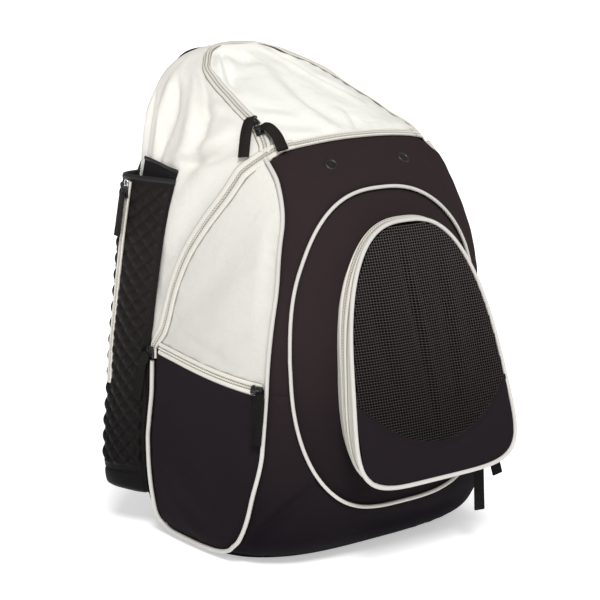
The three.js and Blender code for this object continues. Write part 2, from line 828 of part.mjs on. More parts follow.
function sideZip() {
  const { low, high, width, footWidth } = SIDE_ZIP;
  const places = shares(15).map((t) => mix(low, high, t)).map((z) => ({ turn: sideZipTurn(z), z }));
  return bodyZip(places, (share) => mix(footWidth, width, THREE.MathUtils.smoothstep(share, 0.05, 0.15)));
}

function lowerZip() {
  const places = shares(9).map((t) => {
    const s = mix(LOWER_ZIP.from, LOWER_ZIP.to, t);
    const z = lowerSeam(s);
    return { turn: mix(lowerBackTurn(z), frontSeamTurn(z), s), z };
  });
  return bodyZip(places, () => LOWER_ZIP.width);
}

// Place on the front pocket's gusset: its point, the way to the face, the way out and the gusset's depth
function gussetFrame(angle, lift) {
  const share = 0.45;
  const ends = (at) => {
    const foot = outlinePoint(POCKET_FOOT, at);
    const rim = outlinePoint(POCKET_RIM, at);
    const seat = frontAt(foot, insertLift(foot.x, foot.z));
    return [seat, new THREE.Vector3(rim.x, read(POCKET_FACE, 'y', rim.z), rim.z)];
  };
  const middle = (at) => ends(at)[0].lerp(ends(at)[1], share);
  const [seat, edge] = ends(angle);
  const slope = edge.sub(seat);
  const side = slope.clone().normalize();
  const step = 0.02;
  const tangent = middle(angle + step).sub(middle(angle - step)).normalize();
  const normal = tangent.cross(side).normalize();
  return { point: middle(angle).addScaledVector(normal, lift), side, normal, depth: slope.length() };
}

// Ring of coil and tape round the front pocket's gusset
function pocketZip() {
  const frames = angles(ROUND_STEPS).map((angle) => {
    const { point, side, normal, depth } = gussetFrame(angle, TRIM_LIFT);
    const half = Math.min(ZIP.width / 2, depth * 0.26);
    return { point, side: side.multiplyScalar(half), normal };
  });
  const section = () => [[-1, 0], [1, 0], [1, ZIP.thick], [-1, ZIP.thick]];
  return sweep(frames, section, true);
}

// Place on the sleeve's zip strip, raised by a lift
function sleeveZipPoint(z, lift) {
  const { across } = SLEEVE_ZIP;
  return sleevePoint(across, z, sleeveLift(across, z) + SLEEVE_ZIP.lift).addScaledVector(SLEEVE_OUT, lift);
}

function sleeveZip() {
  const { low, high, width } = SLEEVE_ZIP;
  const points = shares(10).map((t) => sleeveZipPoint(mix(high, low, t), 0));
  return sweep(framesAlong(points, points.map(() => SLEEVE_OUT)), flatSection(() => width, ZIP.thick));
}

// Zip slider that stands on a zip at a frame
function slider(frame) {
  const shape = new THREE.Shape();
  const x = SLIDER.width / 2;
  const y = SLIDER.length / 2;
  shape.moveTo(-x + SLIDER.corner, -y);
  shape.lineTo(x - SLIDER.corner, -y);
  shape.lineTo(x, -y + SLIDER.corner);
  shape.lineTo(x, y - SLIDER.corner);
  shape.lineTo(x - SLIDER.corner, y);
  shape.lineTo(-x + SLIDER.corner, y);
  shape.lineTo(-x, y - SLIDER.corner);
  shape.lineTo(-x, -y + SLIDER.corner);
  const body = new THREE.ExtrudeGeometry(shape, { depth: SLIDER.thick, bevelEnabled: false, steps: 1 });
  const along = frame.normal.clone().cross(frame.side);
  const basis = new THREE.Matrix4().makeBasis(frame.side, along, frame.normal);
  body.applyMatrix4(basis.setPosition(frame.point));
  return welded(body);
}

// Webbing pull along a few points, with its face outwards
function pull(points, outward) {
  const steps = 6;
  const path = curvePoints(points, steps);
  const frames = framesAlong(path, path.map(() => outward));
  return sweep(frames, flatSection(() => PULL.width, PULL.thick));
}

const ON_ZIP = TRIM_LIFT + ZIP.thick + GAP;
const ON_SLIDER = ON_ZIP + SLIDER.thick + GAP;

// Slider and pull on the body, with the pull's places given as turns, heights and lifts
function bodySlider(place, toward, pullPlaces) {
  const frames = bodyFrames([place, toward], ON_ZIP);
  const points = pullPlaces.map(({ turn, z, lift }) => bodyAt(turn, z, lift));
  const middle = pullPlaces[Math.floor(pullPlaces.length / 2)];
  return { slider: slider(frames[0]), pull: pull(points, bodyNormal(middle.turn, middle.z)) };
}

function lidSliders() {
  const first = { turn: upperEdgeTurn(446), z: 446 };
  const firstPull = [
    { turn: upperEdgeTurn(446) - 1, z: 446, lift: ON_SLIDER + 0.6 },
    { turn: upperEdgeTurn(440) - 5, z: 436, lift: ON_SLIDER - 1.5 },
    { turn: upperEdgeTurn(440) - 9, z: 414, lift: 4.5 },
  ];
  const second = { turn: upperEdgeTurn(438), z: 438 };
  const secondPull = [
    { turn: upperEdgeTurn(438) + 1, z: 438.5, lift: ON_SLIDER },
    { turn: upperEdgeTurn(438) + 3, z: 438, lift: ON_SLIDER + 1.5 },
    { turn: upperEdgeTurn(438) + 4.5, z: 432, lift: ON_SLIDER + 0.5 },
    { turn: upperEdgeTurn(438) + 4.7, z: 420, lift: 6 },
  ];
  return [
    bodySlider(first, { turn: upperEdgeTurn(441), z: 441 }, firstPull),
    bodySlider(second, { turn: upperEdgeTurn(433), z: 433 }, secondPull),
  ];
}

// Slider at the foot of the diagonal zip, with a pull that lies over the sleeve's front edge
function sideSlider() {
  const z = SIDE_ZIP.slider;
  const place = { turn: sideZipTurn(z), z };
  const frames = bodyFrames([place, { turn: sideZipTurn(z - 6), z: z - 6 }], ON_ZIP);
  const onSleeve = [0.26, 0.62, 1].map((t) => {
    const across = mix(0.04, 0.12, t);
    const level = z - t * PULL.length;
    const lift = sleeveLift(across, level) + SLEEVE_SEAT + WALL + 1.6;
    return sleevePoint(across, level, Math.max(lift, ON_SLIDER + GAP));
  });
  const hang = [bodyAt(place.turn, z, ON_SLIDER + 3 * GAP), ...onSleeve];
  return { slider: slider(frames[0]), pull: pull(hang, new THREE.Vector3(-1, -0.3, 0).normalize()) };
}

function lowerSlider() {
  const s = LOWER_ZIP.slider;
  const z = lowerSeam(s);
  const turnAt = (share, level) => mix(lowerBackTurn(level), frontSeamTurn(level), share);
  const place = { turn: turnAt(s, z), z };
  const toward = { turn: turnAt(s + 0.05, lowerSeam(s + 0.05)), z: lowerSeam(s + 0.05) };
  const pullPlaces = [0, 10, 25, 40, PULL.length].map((drop, index) => ({
    turn: turnAt(s + LOWER_ZIP.nose, z - drop) + 0.4,
    z: z - 2 - drop,
    lift: Math.max(ON_SLIDER - index * 0.8, 5.6),
  }));
  return bodySlider(place, toward, pullPlaces);
}

const POCKET_PULL_FACE = new THREE.Vector3(-0.3, -1, 0).normalize();

// Slider on the front pocket's zip near its lower corner, with a pull that hangs a little outwards
function pocketSlider({ angle, drop, gap, swing }) {
  const frame = gussetFrame(angle, ON_ZIP);
  const away = SLIDER.thick + gap;
  const hangFrom = frame.point.clone().addScaledVector(frame.normal, away);
  const hang = new THREE.Vector3(swing, 0, -drop);
  const points = [0, 0.3, 0.65, 1].map((t) => hangFrom.clone().addScaledVector(hang, t));
  return { slider: slider(frame), pull: pull(points, POCKET_PULL_FACE) };
}

function sleeveSlider() {
  const top = SLEEVE_ZIP.slider;
  const point = sleeveZipPoint(top, ZIP.thick + 2 * GAP);
  const side = new THREE.Vector3(0, 0, -1).cross(SLEEVE_OUT).normalize();
  const away = ZIP.thick + SLIDER.thick + 3 * GAP;
  const hang = [0, 0.2, 0.55, 1].map((t) => sleeveZipPoint(top - t * SLEEVE_PULL, away));
  return { slider: slider({ point, side, normal: SLEEVE_OUT }), pull: pull(hang, SLEEVE_OUT) };
}

function grommet(sign) {
  const { outer, inner, thick } = GROMMET;
  const bevel = thick * 0.35;
  const profile = [
    [inner, 0], [outer, 0], [outer, thick - bevel], [outer - bevel, thick], [inner, thick], [inner, 0],
  ];
  const ring = new THREE.LatheGeometry(profile.map(([x, y]) => new THREE.Vector2(x, y)), 10);
  const turn = turnAtX(GROMMET.middle + sign * GROMMET.apart, GROMMET.z);
  const normal = bodyNormal(turn, GROMMET.z);
  const lay = new THREE.Quaternion().setFromUnitVectors(new THREE.Vector3(0, 1, 0), normal);
  ring.applyQuaternion(lay);
  const place = bodyAt(turn, GROMMET.z, GROMMET.lift);
  ring.translate(place.x, place.y, place.z);
  return welded(ring);
}

// Carrying straps behind the back panel

// Turn of the back's surface at a place along X
function turnAtBack(x, z) {
  const section = bodySection(z);
  const across = Math.min(Math.abs(x) / section.half, 1);
  const along = (1 - across ** section.backPower) ** (1 / section.backPower);
  const turn = toDegrees(Math.atan2(along, across));
  return x < 0 ? -turn : 180 + turn;
}

// Path behind the back from rows of places and how far each stands off
function backPath(rows, steps) {
  const points = rows.map(({ x, z, stand }) => bodyAt(turnAtBack(x, z), z, stand));
  const path = curvePoints(points, steps);
  return framesAlong(path, path.map(({ x, z }) => bodyNormal(turnAtBack(x, z), z)));
}

function shoulderStrap() {
  const rest = STRAP.thick / 2 + 0.8;
  const rows = [
    { x: -47, z: 450, stand: rest - 1.1 },
    { x: -52, z: 425, stand: rest + 5 },
    { x: -60, z: 390, stand: rest + 11 },
    { x: -67, z: 355, stand: rest + 25 },
    { x: -80, z: 300, stand: rest + 34 },
    { x: -94, z: 230, stand: rest + 24 },
    { x: -104, z: 173, stand: rest + 12.2 },
  ];
  return sweep(backPath(rows, 12), paddedSection(STRAP));
}

function strapBuckle() {
  const half = BUCKLE.length / 2;
  const rows = [half, 0, -half].map((rise) => ({ x: -107, z: 154 + rise, stand: 17.5 + rise * 0.12 }));
  return sweep(backPath(rows, 2), paddedSection(BUCKLE));
}

function strapWebbing() {
  const rest = WEBBING.thick / 2 + 0.6;
  const rows = [
    { x: -108, z: 137.7, stand: 15.6 },
    { x: -109, z: 120, stand: 11.5 },
    { x: -110, z: 95, stand: 6.5 },
    { x: -110, z: 70, stand: rest + 0.2 },
    { x: -109, z: 48, stand: rest - 2.1 },
  ];
  return sweep(backPath(rows, 7), paddedSection(WEBBING));
}

function haulLoop() {
  const rest = HAUL.thick / 2;
  const rows = shares(8).map((t) => {
    const across = 2 * t - 1;
    const lift = Math.sqrt(1 - Math.min(Math.abs(across) ** 2.6, 1));
    return {
      x: HAUL.half * across * (1 - 0.06 * (1 - lift)),
      z: mix(HAUL.low, HAUL.high - HAUL.width / 2, lift),
      stand: rest + HAUL.stand * lift,
    };
  });
  return sweep(backPath(rows, 14), paddedSection(HAUL));
}

// The whole bag

const bag = new THREE.Group();

function add(name, shape, colour) {
  const [color, roughness] = COLOURS[colour];
  const mesh = new THREE.Mesh(shape, new THREE.MeshStandardMaterial({ color, roughness, metalness: 0 }));
  mesh.name = name;
  bag.add(mesh);
}

function addPair(name, shape, colour) {
  add(`${name}_left`, shape, colour);
  add(`${name}_right`, mirrored(shape), colour);
}

function addSlider(name, pieces, pair) {
  const place = pair ? addPair : add;
  place(`${name}_slider`, pieces.slider, 'moulded');
  place(`${name}_pull`, pieces.pull, 'black');
}

add('base_panel', basePanel(), 'black');
add('back_panel', backPanel(), 'black');
add('front_panel', frontPanel(), 'black');
add('front_insert', frontInsert(), 'black');
add('top_lid', topLid(), 'white');
addPair('side_upper', sideUpper(), 'white');
addPair('side_pocket', sidePocket(), 'white');
addPair('lower_pocket', lowerPocket(), 'black');
addPair('rear_corner', rearCorner(), 'black');
add('pocket_gusset', pocketGusset(), 'cream');
add('pocket_mesh', faceSide(1), 'mesh');
add('pocket_lower_face', faceSide(-1), 'black');
addPair('bat_sleeve', batSleeve(), 'quilt');
addPair('side_piping', sidePiping(), 'cream');
add('insert_piping', insertPiping(), 'cream');
add('pocket_piping', pocketPiping(), 'cream');
add('lid_zip', lidZip(), 'cream');
addPair('side_zip', sideZip(), 'cream');
addPair('lower_zip', lowerZip(), 'cream');
add('pocket_zip', pocketZip(), 'cream');
addPair('sleeve_zip', sleeveZip(), 'cream');
lidSliders().forEach((pieces, index) => addSlider(`lid_${index + 1}`, pieces, false));
addSlider('side', sideSlider(), true);
addSlider('lower', lowerSlider(), true);
POCKET_PULLS.forEach((place, index) => addSlider(`pocket_${index + 1}`, pocketSlider(place), false));
addSlider('sleeve', sleeveSlider(), true);
add('grommet_left', grommet(-1), 'moulded');
add('grommet_right', grommet(1), 'moulded');
addPair('shoulder_strap', shoulderStrap(), 'black');
addPair('strap_buckle', strapBuckle(), 'moulded');
addPair('strap_webbing', strapWebbing(), 'black');
add('haul_loop', haulLoop(), 'black');

export default bag;
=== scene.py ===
"""Looks of the bat backpack: sewn cloth, net, zips, piping, webbing and a plain studio."""
import math

import bpy
import numpy as np
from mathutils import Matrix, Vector


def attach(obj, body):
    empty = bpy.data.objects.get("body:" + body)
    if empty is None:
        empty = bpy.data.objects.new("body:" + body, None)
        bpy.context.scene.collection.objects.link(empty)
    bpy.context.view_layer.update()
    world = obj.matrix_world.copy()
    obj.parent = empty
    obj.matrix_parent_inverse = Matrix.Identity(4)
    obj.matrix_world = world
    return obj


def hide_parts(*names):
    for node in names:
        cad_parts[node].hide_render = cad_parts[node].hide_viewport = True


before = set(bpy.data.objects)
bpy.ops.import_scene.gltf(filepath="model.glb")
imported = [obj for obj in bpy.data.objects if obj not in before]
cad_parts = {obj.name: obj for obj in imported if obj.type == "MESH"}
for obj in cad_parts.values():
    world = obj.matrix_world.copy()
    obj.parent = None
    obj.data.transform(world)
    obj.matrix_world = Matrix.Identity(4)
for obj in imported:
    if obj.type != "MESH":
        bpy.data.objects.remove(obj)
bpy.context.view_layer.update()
MM = 0.001


# Sizes and tables, in millimetres and degrees

def table(columns, rows):
    return dict(zip(columns, np.array(rows, float).T))


WALL = 2.2
TOP = 514
BASE_RIM = 6
SIDE_SPLIT = 212
LOWER_SEAM_FRONT = 190
LID_CORNER = 420
LID_FRONT_MIDDLE = 432.5
BACK_SEAM_TURN = 46
BACK_CORNER = 0.055
RIGHT_SLUMP = 0.08
SEAM_GAP = 0.2
PANEL_FOOT = BASE_RIM + 1
SIDE_POCKET_TOP = 418.6
CLOTH_WALL = 1.8
HANDS = ("left", "right")

BODY = table(("z", "half", "back", "widest", "front", "front_power", "back_power"), (
    (0, 146, 84, -20, -120, 3.2, 2.8),
    (8, 157, 97, -20, -142, 3.3, 2.8),
    (30, 168, 112, -18, -168, 3.4, 2.8),
    (90, 173, 123, -10, -187, 3.3, 2.8),
    (200, 171, 130, 5, -188, 3.0, 2.8),
    (310, 159, 135, 25, -182, 3.0, 2.9),
    (390, 140, 140, 45, -153, 3.0, 3.1),
    (425, 130, 141, 60, -120, 3.0, 3.2),
    (451, 120, 140, 75, -75, 2.8, 3.2),
    (472, 109, 137, 88, -20, 2.5, 3.2),
    (490, 93, 132, 98, 36, 2.4, 3.0),
    (505, 66, 126, 106, 82, 2.3, 2.6),
    (514, 34, 119, 108, 97, 2.2, 2.2),
))
FRONT_SEAM = table(("z", "y"), (
    (6, -84), (17, -95), (31, -112), (74, -131), (130, -140),
    (279, -140), (347, -133), (392, -114), (420, -86),
))
UPPER_EDGE = table(("z", "y"), (
    (212, 20), (233, 4), (277, -8), (307, -20), (342, -41), (379, -65), (409, -79), (420, -86),
    (440, -65), (451, -43), (463, -14), (482, 34), (496, 69), (507, 93), (514, 104),
))
LOWER_BACK = table(("z", "y"), ((6, 28), (35, 30), (106, 31), (130, 27), (166, 21), (212, 20)))
POCKET_FACE = table(("z", "y"), ((60, -250), (90, -246), (186, -225), (290, -198), (355, -181), (380, -174)))
SLEEVE = table(("z", "front", "back", "outer"), (
    (45, 38, 85, 174), (49, 37, 89, 187), (54, 37, 90.4, 191.5), (66, 37, 91, 193.5), (106, 37, 92, 192),
    (166, 28, 95, 185.1), (205, 26, 97, 180.6), (240, 21, 98, 176.6),
    (385, 15, 100, 160), (396, 14, 100, 158.7),
))
OUTLINE_COLUMNS = ("middle", "half", "lean", "up", "up_power", "up_taper", "down", "down_power", "down_taper")
INSERT = dict(zip(OUTLINE_COLUMNS, (221, 126.5, -0.074, 164, 2.6, -0.12, 160.5, 3.0, 0)))
POCKET_FOOT = dict(zip(OUTLINE_COLUMNS, (219, 87, 0, 137, 2.5, 0, 137, 3, 0)))
POCKET_RIM = dict(zip(OUTLINE_COLUMNS, (200, 98, 0, 152, 2.75, -0.117, 97, 5, -0.117)))
INSERT_DOME = 6
FACE_DOME = 6
MESH_SEAM = dict(middle=139, rise=48)
SLEEVE_SEAT = 1.2
SLEEVE_RIM = 384
SLEEVE_FLAP_FRONT = 393
SLEEVE_FLAP_BACK = 401
SLEEVE_FLAP_END = 0.77
SLEEVE_CREST = 0.82

# Folds: curves that start at one place of turn and height, bend toward a second and end at a third
FOLD_COLUMNS = ("t0", "z0", "t1", "z1", "t2", "z2", "width", "depth")
MM_PER_TURN = 2.3
RIDGE = {"share": 0.6, "away": 1.9, "width": 1.2}
SIDE_FOLDS = (
    (15, 478, 7.5, 456, -6, 396, 6.5, 8.5),
    (36, 482, 23, 446, 12, 390, 6, 8.5),
    (41, 438, 31, 418, 12, 402, 5.5, 6.4),
    (40, 449, 34, 455, 25, 452, 4, 2.6),
    (-15, 466, -20, 425, -24, 394, 5, 4.4),
    (36, 424, 24, 408, 4, 398, 5, 3.0),
    (30, 400, 15, 360, 5, 300, 9, 3.6),
    (2, 340, -4, 290, 0, 238, 12, 2.4),
    (-12, 380, -16, 300, -14, 225, 13, 1.6),
)
LID_FOLDS = (
    (52, 505, 70, 505, 86, 500, 5, 4.6),
    (60, 501, 56, 490, 50, 476, 5.5, 6.2),
    (85, 501, 66, 494, 51, 481, 6, 4.4),
    (131, 505, 104, 492, 119, 466, 6, 6.2),
    (92, 480, 76, 464, 88, 448, 10, 5.2),
    (48, 461, 56, 461, 67, 457, 4, 2.2),
    (98, 450, 95, 442, 90, 436, 5, 3.0),
    (44, 452, 58, 446, 74, 444, 5, 2.4),
    (112, 446, 124, 446, 134, 450, 6, 2.2),
)
SIDE_POCKET_FOLDS = (
    (44, 352, 42, 300, 41.5, 240, 4.5, 2.4),
    (16, 262, 26, 300, 35, 345, 11, 2.8),
    (10, 232, 22, 224, 33, 210, 5, 1.8),
    (40, 262, 34, 238, 20, 226, 6, 1.6),
)
LOWER_POCKET_FOLDS = (
    (-4, 150, 8, 100, 26, 60, 13, 2.4),
    (31, 165, 33, 110, 28, 45, 10, 1.8),
    (2, 60, 14, 38, 26, 30, 9, 1.6),
)
FRONT_FOLDS = (
    (57, 97, 48, 76, 36, 22, 6, 6.0),
    (46, 236, 45, 214, 47, 196, 3, 1.2),
    (72, 44, 92, 33, 118, 40, 9, 2.2),
    (128, 90, 133, 66, 139, 42, 7, 2.4),
    (58, 413, 76, 404, 96, 410, 9, 1.0),
    (44, 330, 47, 290, 45, 220, 7, 1.2),
)
INSERT_FOLDS = (
    (52, 100, 60, 70, 78, 62, 8, 1.8),
    (130, 92, 122, 74, 108, 64, 7, 1.6),
    (53, 300, 56, 250, 54, 180, 8, 1.0),
)
BACK_FOLDS = (
    (232, 130, 270, 112, 308, 128, 18, 2.0),
    (240, 60, 262, 48, 296, 60, 13, 1.8),
    (236, 420, 252, 380, 246, 320, 14, 1.6),
    (304, 420, 288, 380, 294, 320, 14, 1.6),
)
# Soft pleats of the net: x and height of both ends, width and depth
NET_PLEATS = (
    (-66, 318, -50, 170, 9, 1.6),
    (-18, 348, -6, 142, 5, 2.6),
    (30, 342, 24, 150, 8, 1.7),
    (56, 300, 66, 188, 9, 1.0),
)


# Curves and small helpers

def mix(a, b, share):
    return a + (b - a) * share


def unit(v):
    return v / np.maximum(np.linalg.norm(v, axis=-1, keepdims=True), 1e-12)


def smooth(x, low, high):
    t = np.clip((x - low) / (high - low), 0, 1)
    return t * t * (3 - 2 * t)


def read(rows, column, z):
    """Monotone cubic through a table's column."""
    place, value = rows["z"], rows[column]
    step = np.diff(place)
    rise = np.diff(value) / step
    before, after = 2 * step[1:] + step[:-1], step[1:] + 2 * step[:-1]
    same = rise[:-1] * rise[1:] > 0
    safe = np.where(same, rise[:-1], 1), np.where(same, rise[1:], 1)
    inner = np.where(same, (before + after) / (before / safe[0] + after / safe[1]), 0)
    slope = np.concatenate([rise[:1], inner, rise[-1:]])
    at = np.clip(z, place[0], place[-1])
    row = np.clip(np.searchsorted(place, at) - 1, 0, len(step) - 1)
    t = (at - place[row]) / step[row]
    curve = t * (1 - t) * (slope[row] * (1 - t) - slope[row + 1] * t) * step[row]
    return mix(value[row], value[row + 1], t * t * (3 - 2 * t)) + curve


def body_point(turn, z):
    """The body's surface: a turn of 0 is the -X side, 90 the front, 180 the +X side, 270 the back."""
    turn, z = np.broadcast_arrays(np.asarray(turn, float), np.asarray(z, float))
    half, back, widest, front, front_power, back_power = (read(BODY, c, z) for c in list(BODY)[1:])
    u, v = np.cos(np.radians(turn)), np.sin(np.radians(turn))
    power = np.where(v >= 0, front_power, back_power)
    reach = (np.abs(u) ** power + np.abs(v) ** power) ** (-1 / power)
    reach = reach * (1 - BACK_CORNER * back_corner(turn, z) - RIGHT_SLUMP * right_slump(turn, z))
    depth = np.where(v >= 0, widest - front, back - widest)
    return np.stack([-half * u * reach, widest - depth * v * reach, z], -1)


def back_corner(turn, z):
    """Where the upper back corners are pressed in."""
    from_back = np.abs((turn - 90) % 360 - 180)
    return np.exp(-((from_back - 44) / 24) ** 2) * smooth(z, 445, 480) * smooth(-z, -514, -498)


def right_slump(turn, z):
    """Where the right edge of the lid sags."""
    return np.exp(-((turn % 360 - 150) / 20) ** 2) * smooth(z, 432, 448) * smooth(-z, -496, -464)


def body_normal(turn, z):
    turn, z = np.broadcast_arrays(np.asarray(turn, float), np.asarray(z, float))
    around = body_point(turn + 0.5, z) - body_point(turn - 0.5, z)
    upward = body_point(turn, np.minimum(z + 0.5, TOP)) - body_point(turn, np.maximum(z - 0.5, 0))
    return unit(np.cross(around, upward))


def on_body(turn, z, lift=0.0):
    return body_point(turn, z) + body_normal(turn, z) * np.asarray(lift, float)[..., None]


def turn_at_y(y, z):
    front = y < read(BODY, "widest", z)
    power = np.where(front, read(BODY, "front_power", z), read(BODY, "back_power", z))
    widest = read(BODY, "widest", z)
    depth = np.where(front, widest - read(BODY, "front", z), read(BODY, "back", z) - widest)
    along = np.minimum(np.abs(widest - y) / depth, 1)
    across = (1 - along ** power) ** (1 / power)
    return np.degrees(np.arctan2(along, across)) * np.where(front, 1, -1)


def turn_at_x(x, z, behind=False):
    across = np.minimum(np.abs(x) / read(BODY, "half", z), 1)
    power = read(BODY, "back_power" if behind else "front_power", z)
    along = (1 - across ** power) ** (1 / power)
    turn = np.degrees(np.arctan2(along, across)) * (-1 if behind else 1)
    return np.where(np.asarray(x) < 0, turn, 180 - turn)


def front_seam(z):
    return turn_at_y(read(FRONT_SEAM, "y", z), z)


def upper_edge(z):
    return turn_at_y(read(UPPER_EDGE, "y", z), z)


def lower_back(z):
    return turn_at_y(read(LOWER_BACK, "y", z), z)


def lower_seam(s):
    return SIDE_SPLIT - (SIDE_SPLIT - LOWER_SEAM_FRONT) * s ** 1.3


def lid_edge(s):
    return LID_FRONT_MIDDLE - (LID_FRONT_MIDDLE - LID_CORNER) * np.abs(2 * s - 1) ** 2.6


def outline_lean(o, z):
    return o["lean"] * np.maximum(z - o["middle"], 0)


def outline_half(o, z):
    return o["half"] + np.where(z >= o["middle"], o["up_taper"], o["down_taper"]) * (z - o["middle"])


def outline(o, angle, margin=0.0, share=1.0):
    """Point of a rounded outline on the front at an angle."""
    across, up = np.cos(angle), np.sin(angle)
    power = np.where(up >= 0, o["up_power"], o["down_power"])
    reach = share * (np.abs(across) ** power + np.abs(up) ** power) ** (-1 / power)
    z = o["middle"] + (np.where(up >= 0, o["up"], o["down"]) + margin) * up * reach
    return outline_lean(o, z) + (outline_half(o, z) + margin) * across * reach, z


def outline_share(o, x, z):
    up = (z - o["middle"]) / np.where(z >= o["middle"], o["up"], o["down"])
    across = (x - outline_lean(o, z)) / outline_half(o, z)
    power = np.where(up >= 0, o["up_power"], o["down_power"])
    return (np.abs(across) ** power + np.abs(up) ** power) ** (1 / power)


def insert_lift(x, z):
    return INSERT_DOME * (1 - np.minimum(outline_share(INSERT, x, z), 1) ** 2)


def on_front(x, z, lift=0.0):
    return on_body(turn_at_x(x, z), z, lift)


def path_length(points):
    return np.concatenate([[0], np.cumsum(np.linalg.norm(np.diff(points, axis=0), axis=1))])


def spread(points, count, *more):
    """Points at a count of even steps along a path, with more values carried along."""
    length = path_length(points)
    at = np.linspace(0, length[-1], count + 1)
    columns = [np.asarray(v, float).reshape(len(length), -1).T for v in (points,) + more]
    carried = [np.stack([np.interp(at, length, c) for c in value], 1) for value in columns]
    return carried if more else carried[0]


def even(points, step, *more):
    """Points at steps of about one length along a path."""
    return spread(points, max(int(round(path_length(points)[-1] / step)), 2), *more)


def between(a, b, low, high, t):
    """Straight run from a at low to b at high."""
    return (high - t) / (high - low) * a + (t - low) / (high - low) * b


def curve_through(points, steps):
    """Centripetal curve through a few points at even steps."""
    p = np.asarray(points, float)
    p = np.concatenate([[2 * p[0] - p[1]], p, [2 * p[-1] - p[-2]]])
    knots = np.concatenate([[0], np.cumsum(np.linalg.norm(np.diff(p, axis=0), axis=1) ** 0.5)])
    out = []
    for i in range(1, len(p) - 2):
        k = knots[i - 1:i + 3]
        t = np.linspace(k[1], k[2], 24, endpoint=i == len(p) - 3)[:, None]
        a = [between(p[i - 1 + j], p[i + j], k[j], k[j + 1], t) for j in range(3)]
        b = [between(a[j], a[j + 1], k[j], k[j + 2], t) for j in range(2)]
        out.append(between(b[0], b[1], k[1], k[2], t))
    return spread(np.concatenate(out), steps)


def frames_along(points, normals, closed=False):
    """Side and outward directions along a path."""
    if closed:
        tangent = np.roll(points, -1, 0) - np.roll(points, 1, 0)
    else:
        tangent = np.gradient(points, axis=0)
    tangent = unit(tangent)
    side = unit(np.cross(tangent, np.broadcast_to(normals, points.shape)))
    return side, unit(np.cross(side, tangent)), tangent


def fold_depth(turn, z, folds):
    """How far cloth sinks into its folds: a valley with a soft ridge beside it."""
    depth = np.zeros(np.broadcast(turn, z).shape)
    k = np.linspace(0, 1, 25)
    start, bend, end = (1 - k) ** 2, 2 * k * (1 - k), k * k
    for row in folds:
        f = dict(zip(FOLD_COLUMNS, row))
        ct, cz = (start * f[c + "0"] + bend * f[c + "1"] + end * f[c + "2"] for c in "tz")
        dt = (turn[..., None] - ct) * MM_PER_TURN
        dz = z[..., None] - cz
        far = dt * dt + dz * dz
        near = np.argmin(far, -1)
        far, dt, dz = (np.take_along_axis(a, near[..., None], -1)[..., 0] for a in (far, dt, dz))
        tangent_t, tangent_z = np.gradient(ct) * MM_PER_TURN, np.gradient(cz)
        signed = np.sign(dt * tangent_z[near] - dz * tangent_t[near]) * np.sqrt(far)
        fade = np.sin(np.pi * np.clip(k[near] * 0.94 + 0.03, 0, 1)) ** 0.6
        valley = np.exp(-(signed / f["width"]) ** 2)
        beside = (signed - RIDGE["away"] * f["width"]) / (RIDGE["width"] * f["width"])
        depth += f["depth"] * fade * (valley - RIDGE["share"] * np.exp(-beside ** 2))
    return depth


def ripple(u, v, size):
    """Slow unevenness of stretched cloth."""
    broad = np.sin(u / 17 + 1.3 * np.sin(v / 41)) * np.sin(v / 23 + 0.7)
    return size * (broad + 0.6 * np.sin(u / 7.3 + v / 19) * np.sin(v / 11))


# Meshes

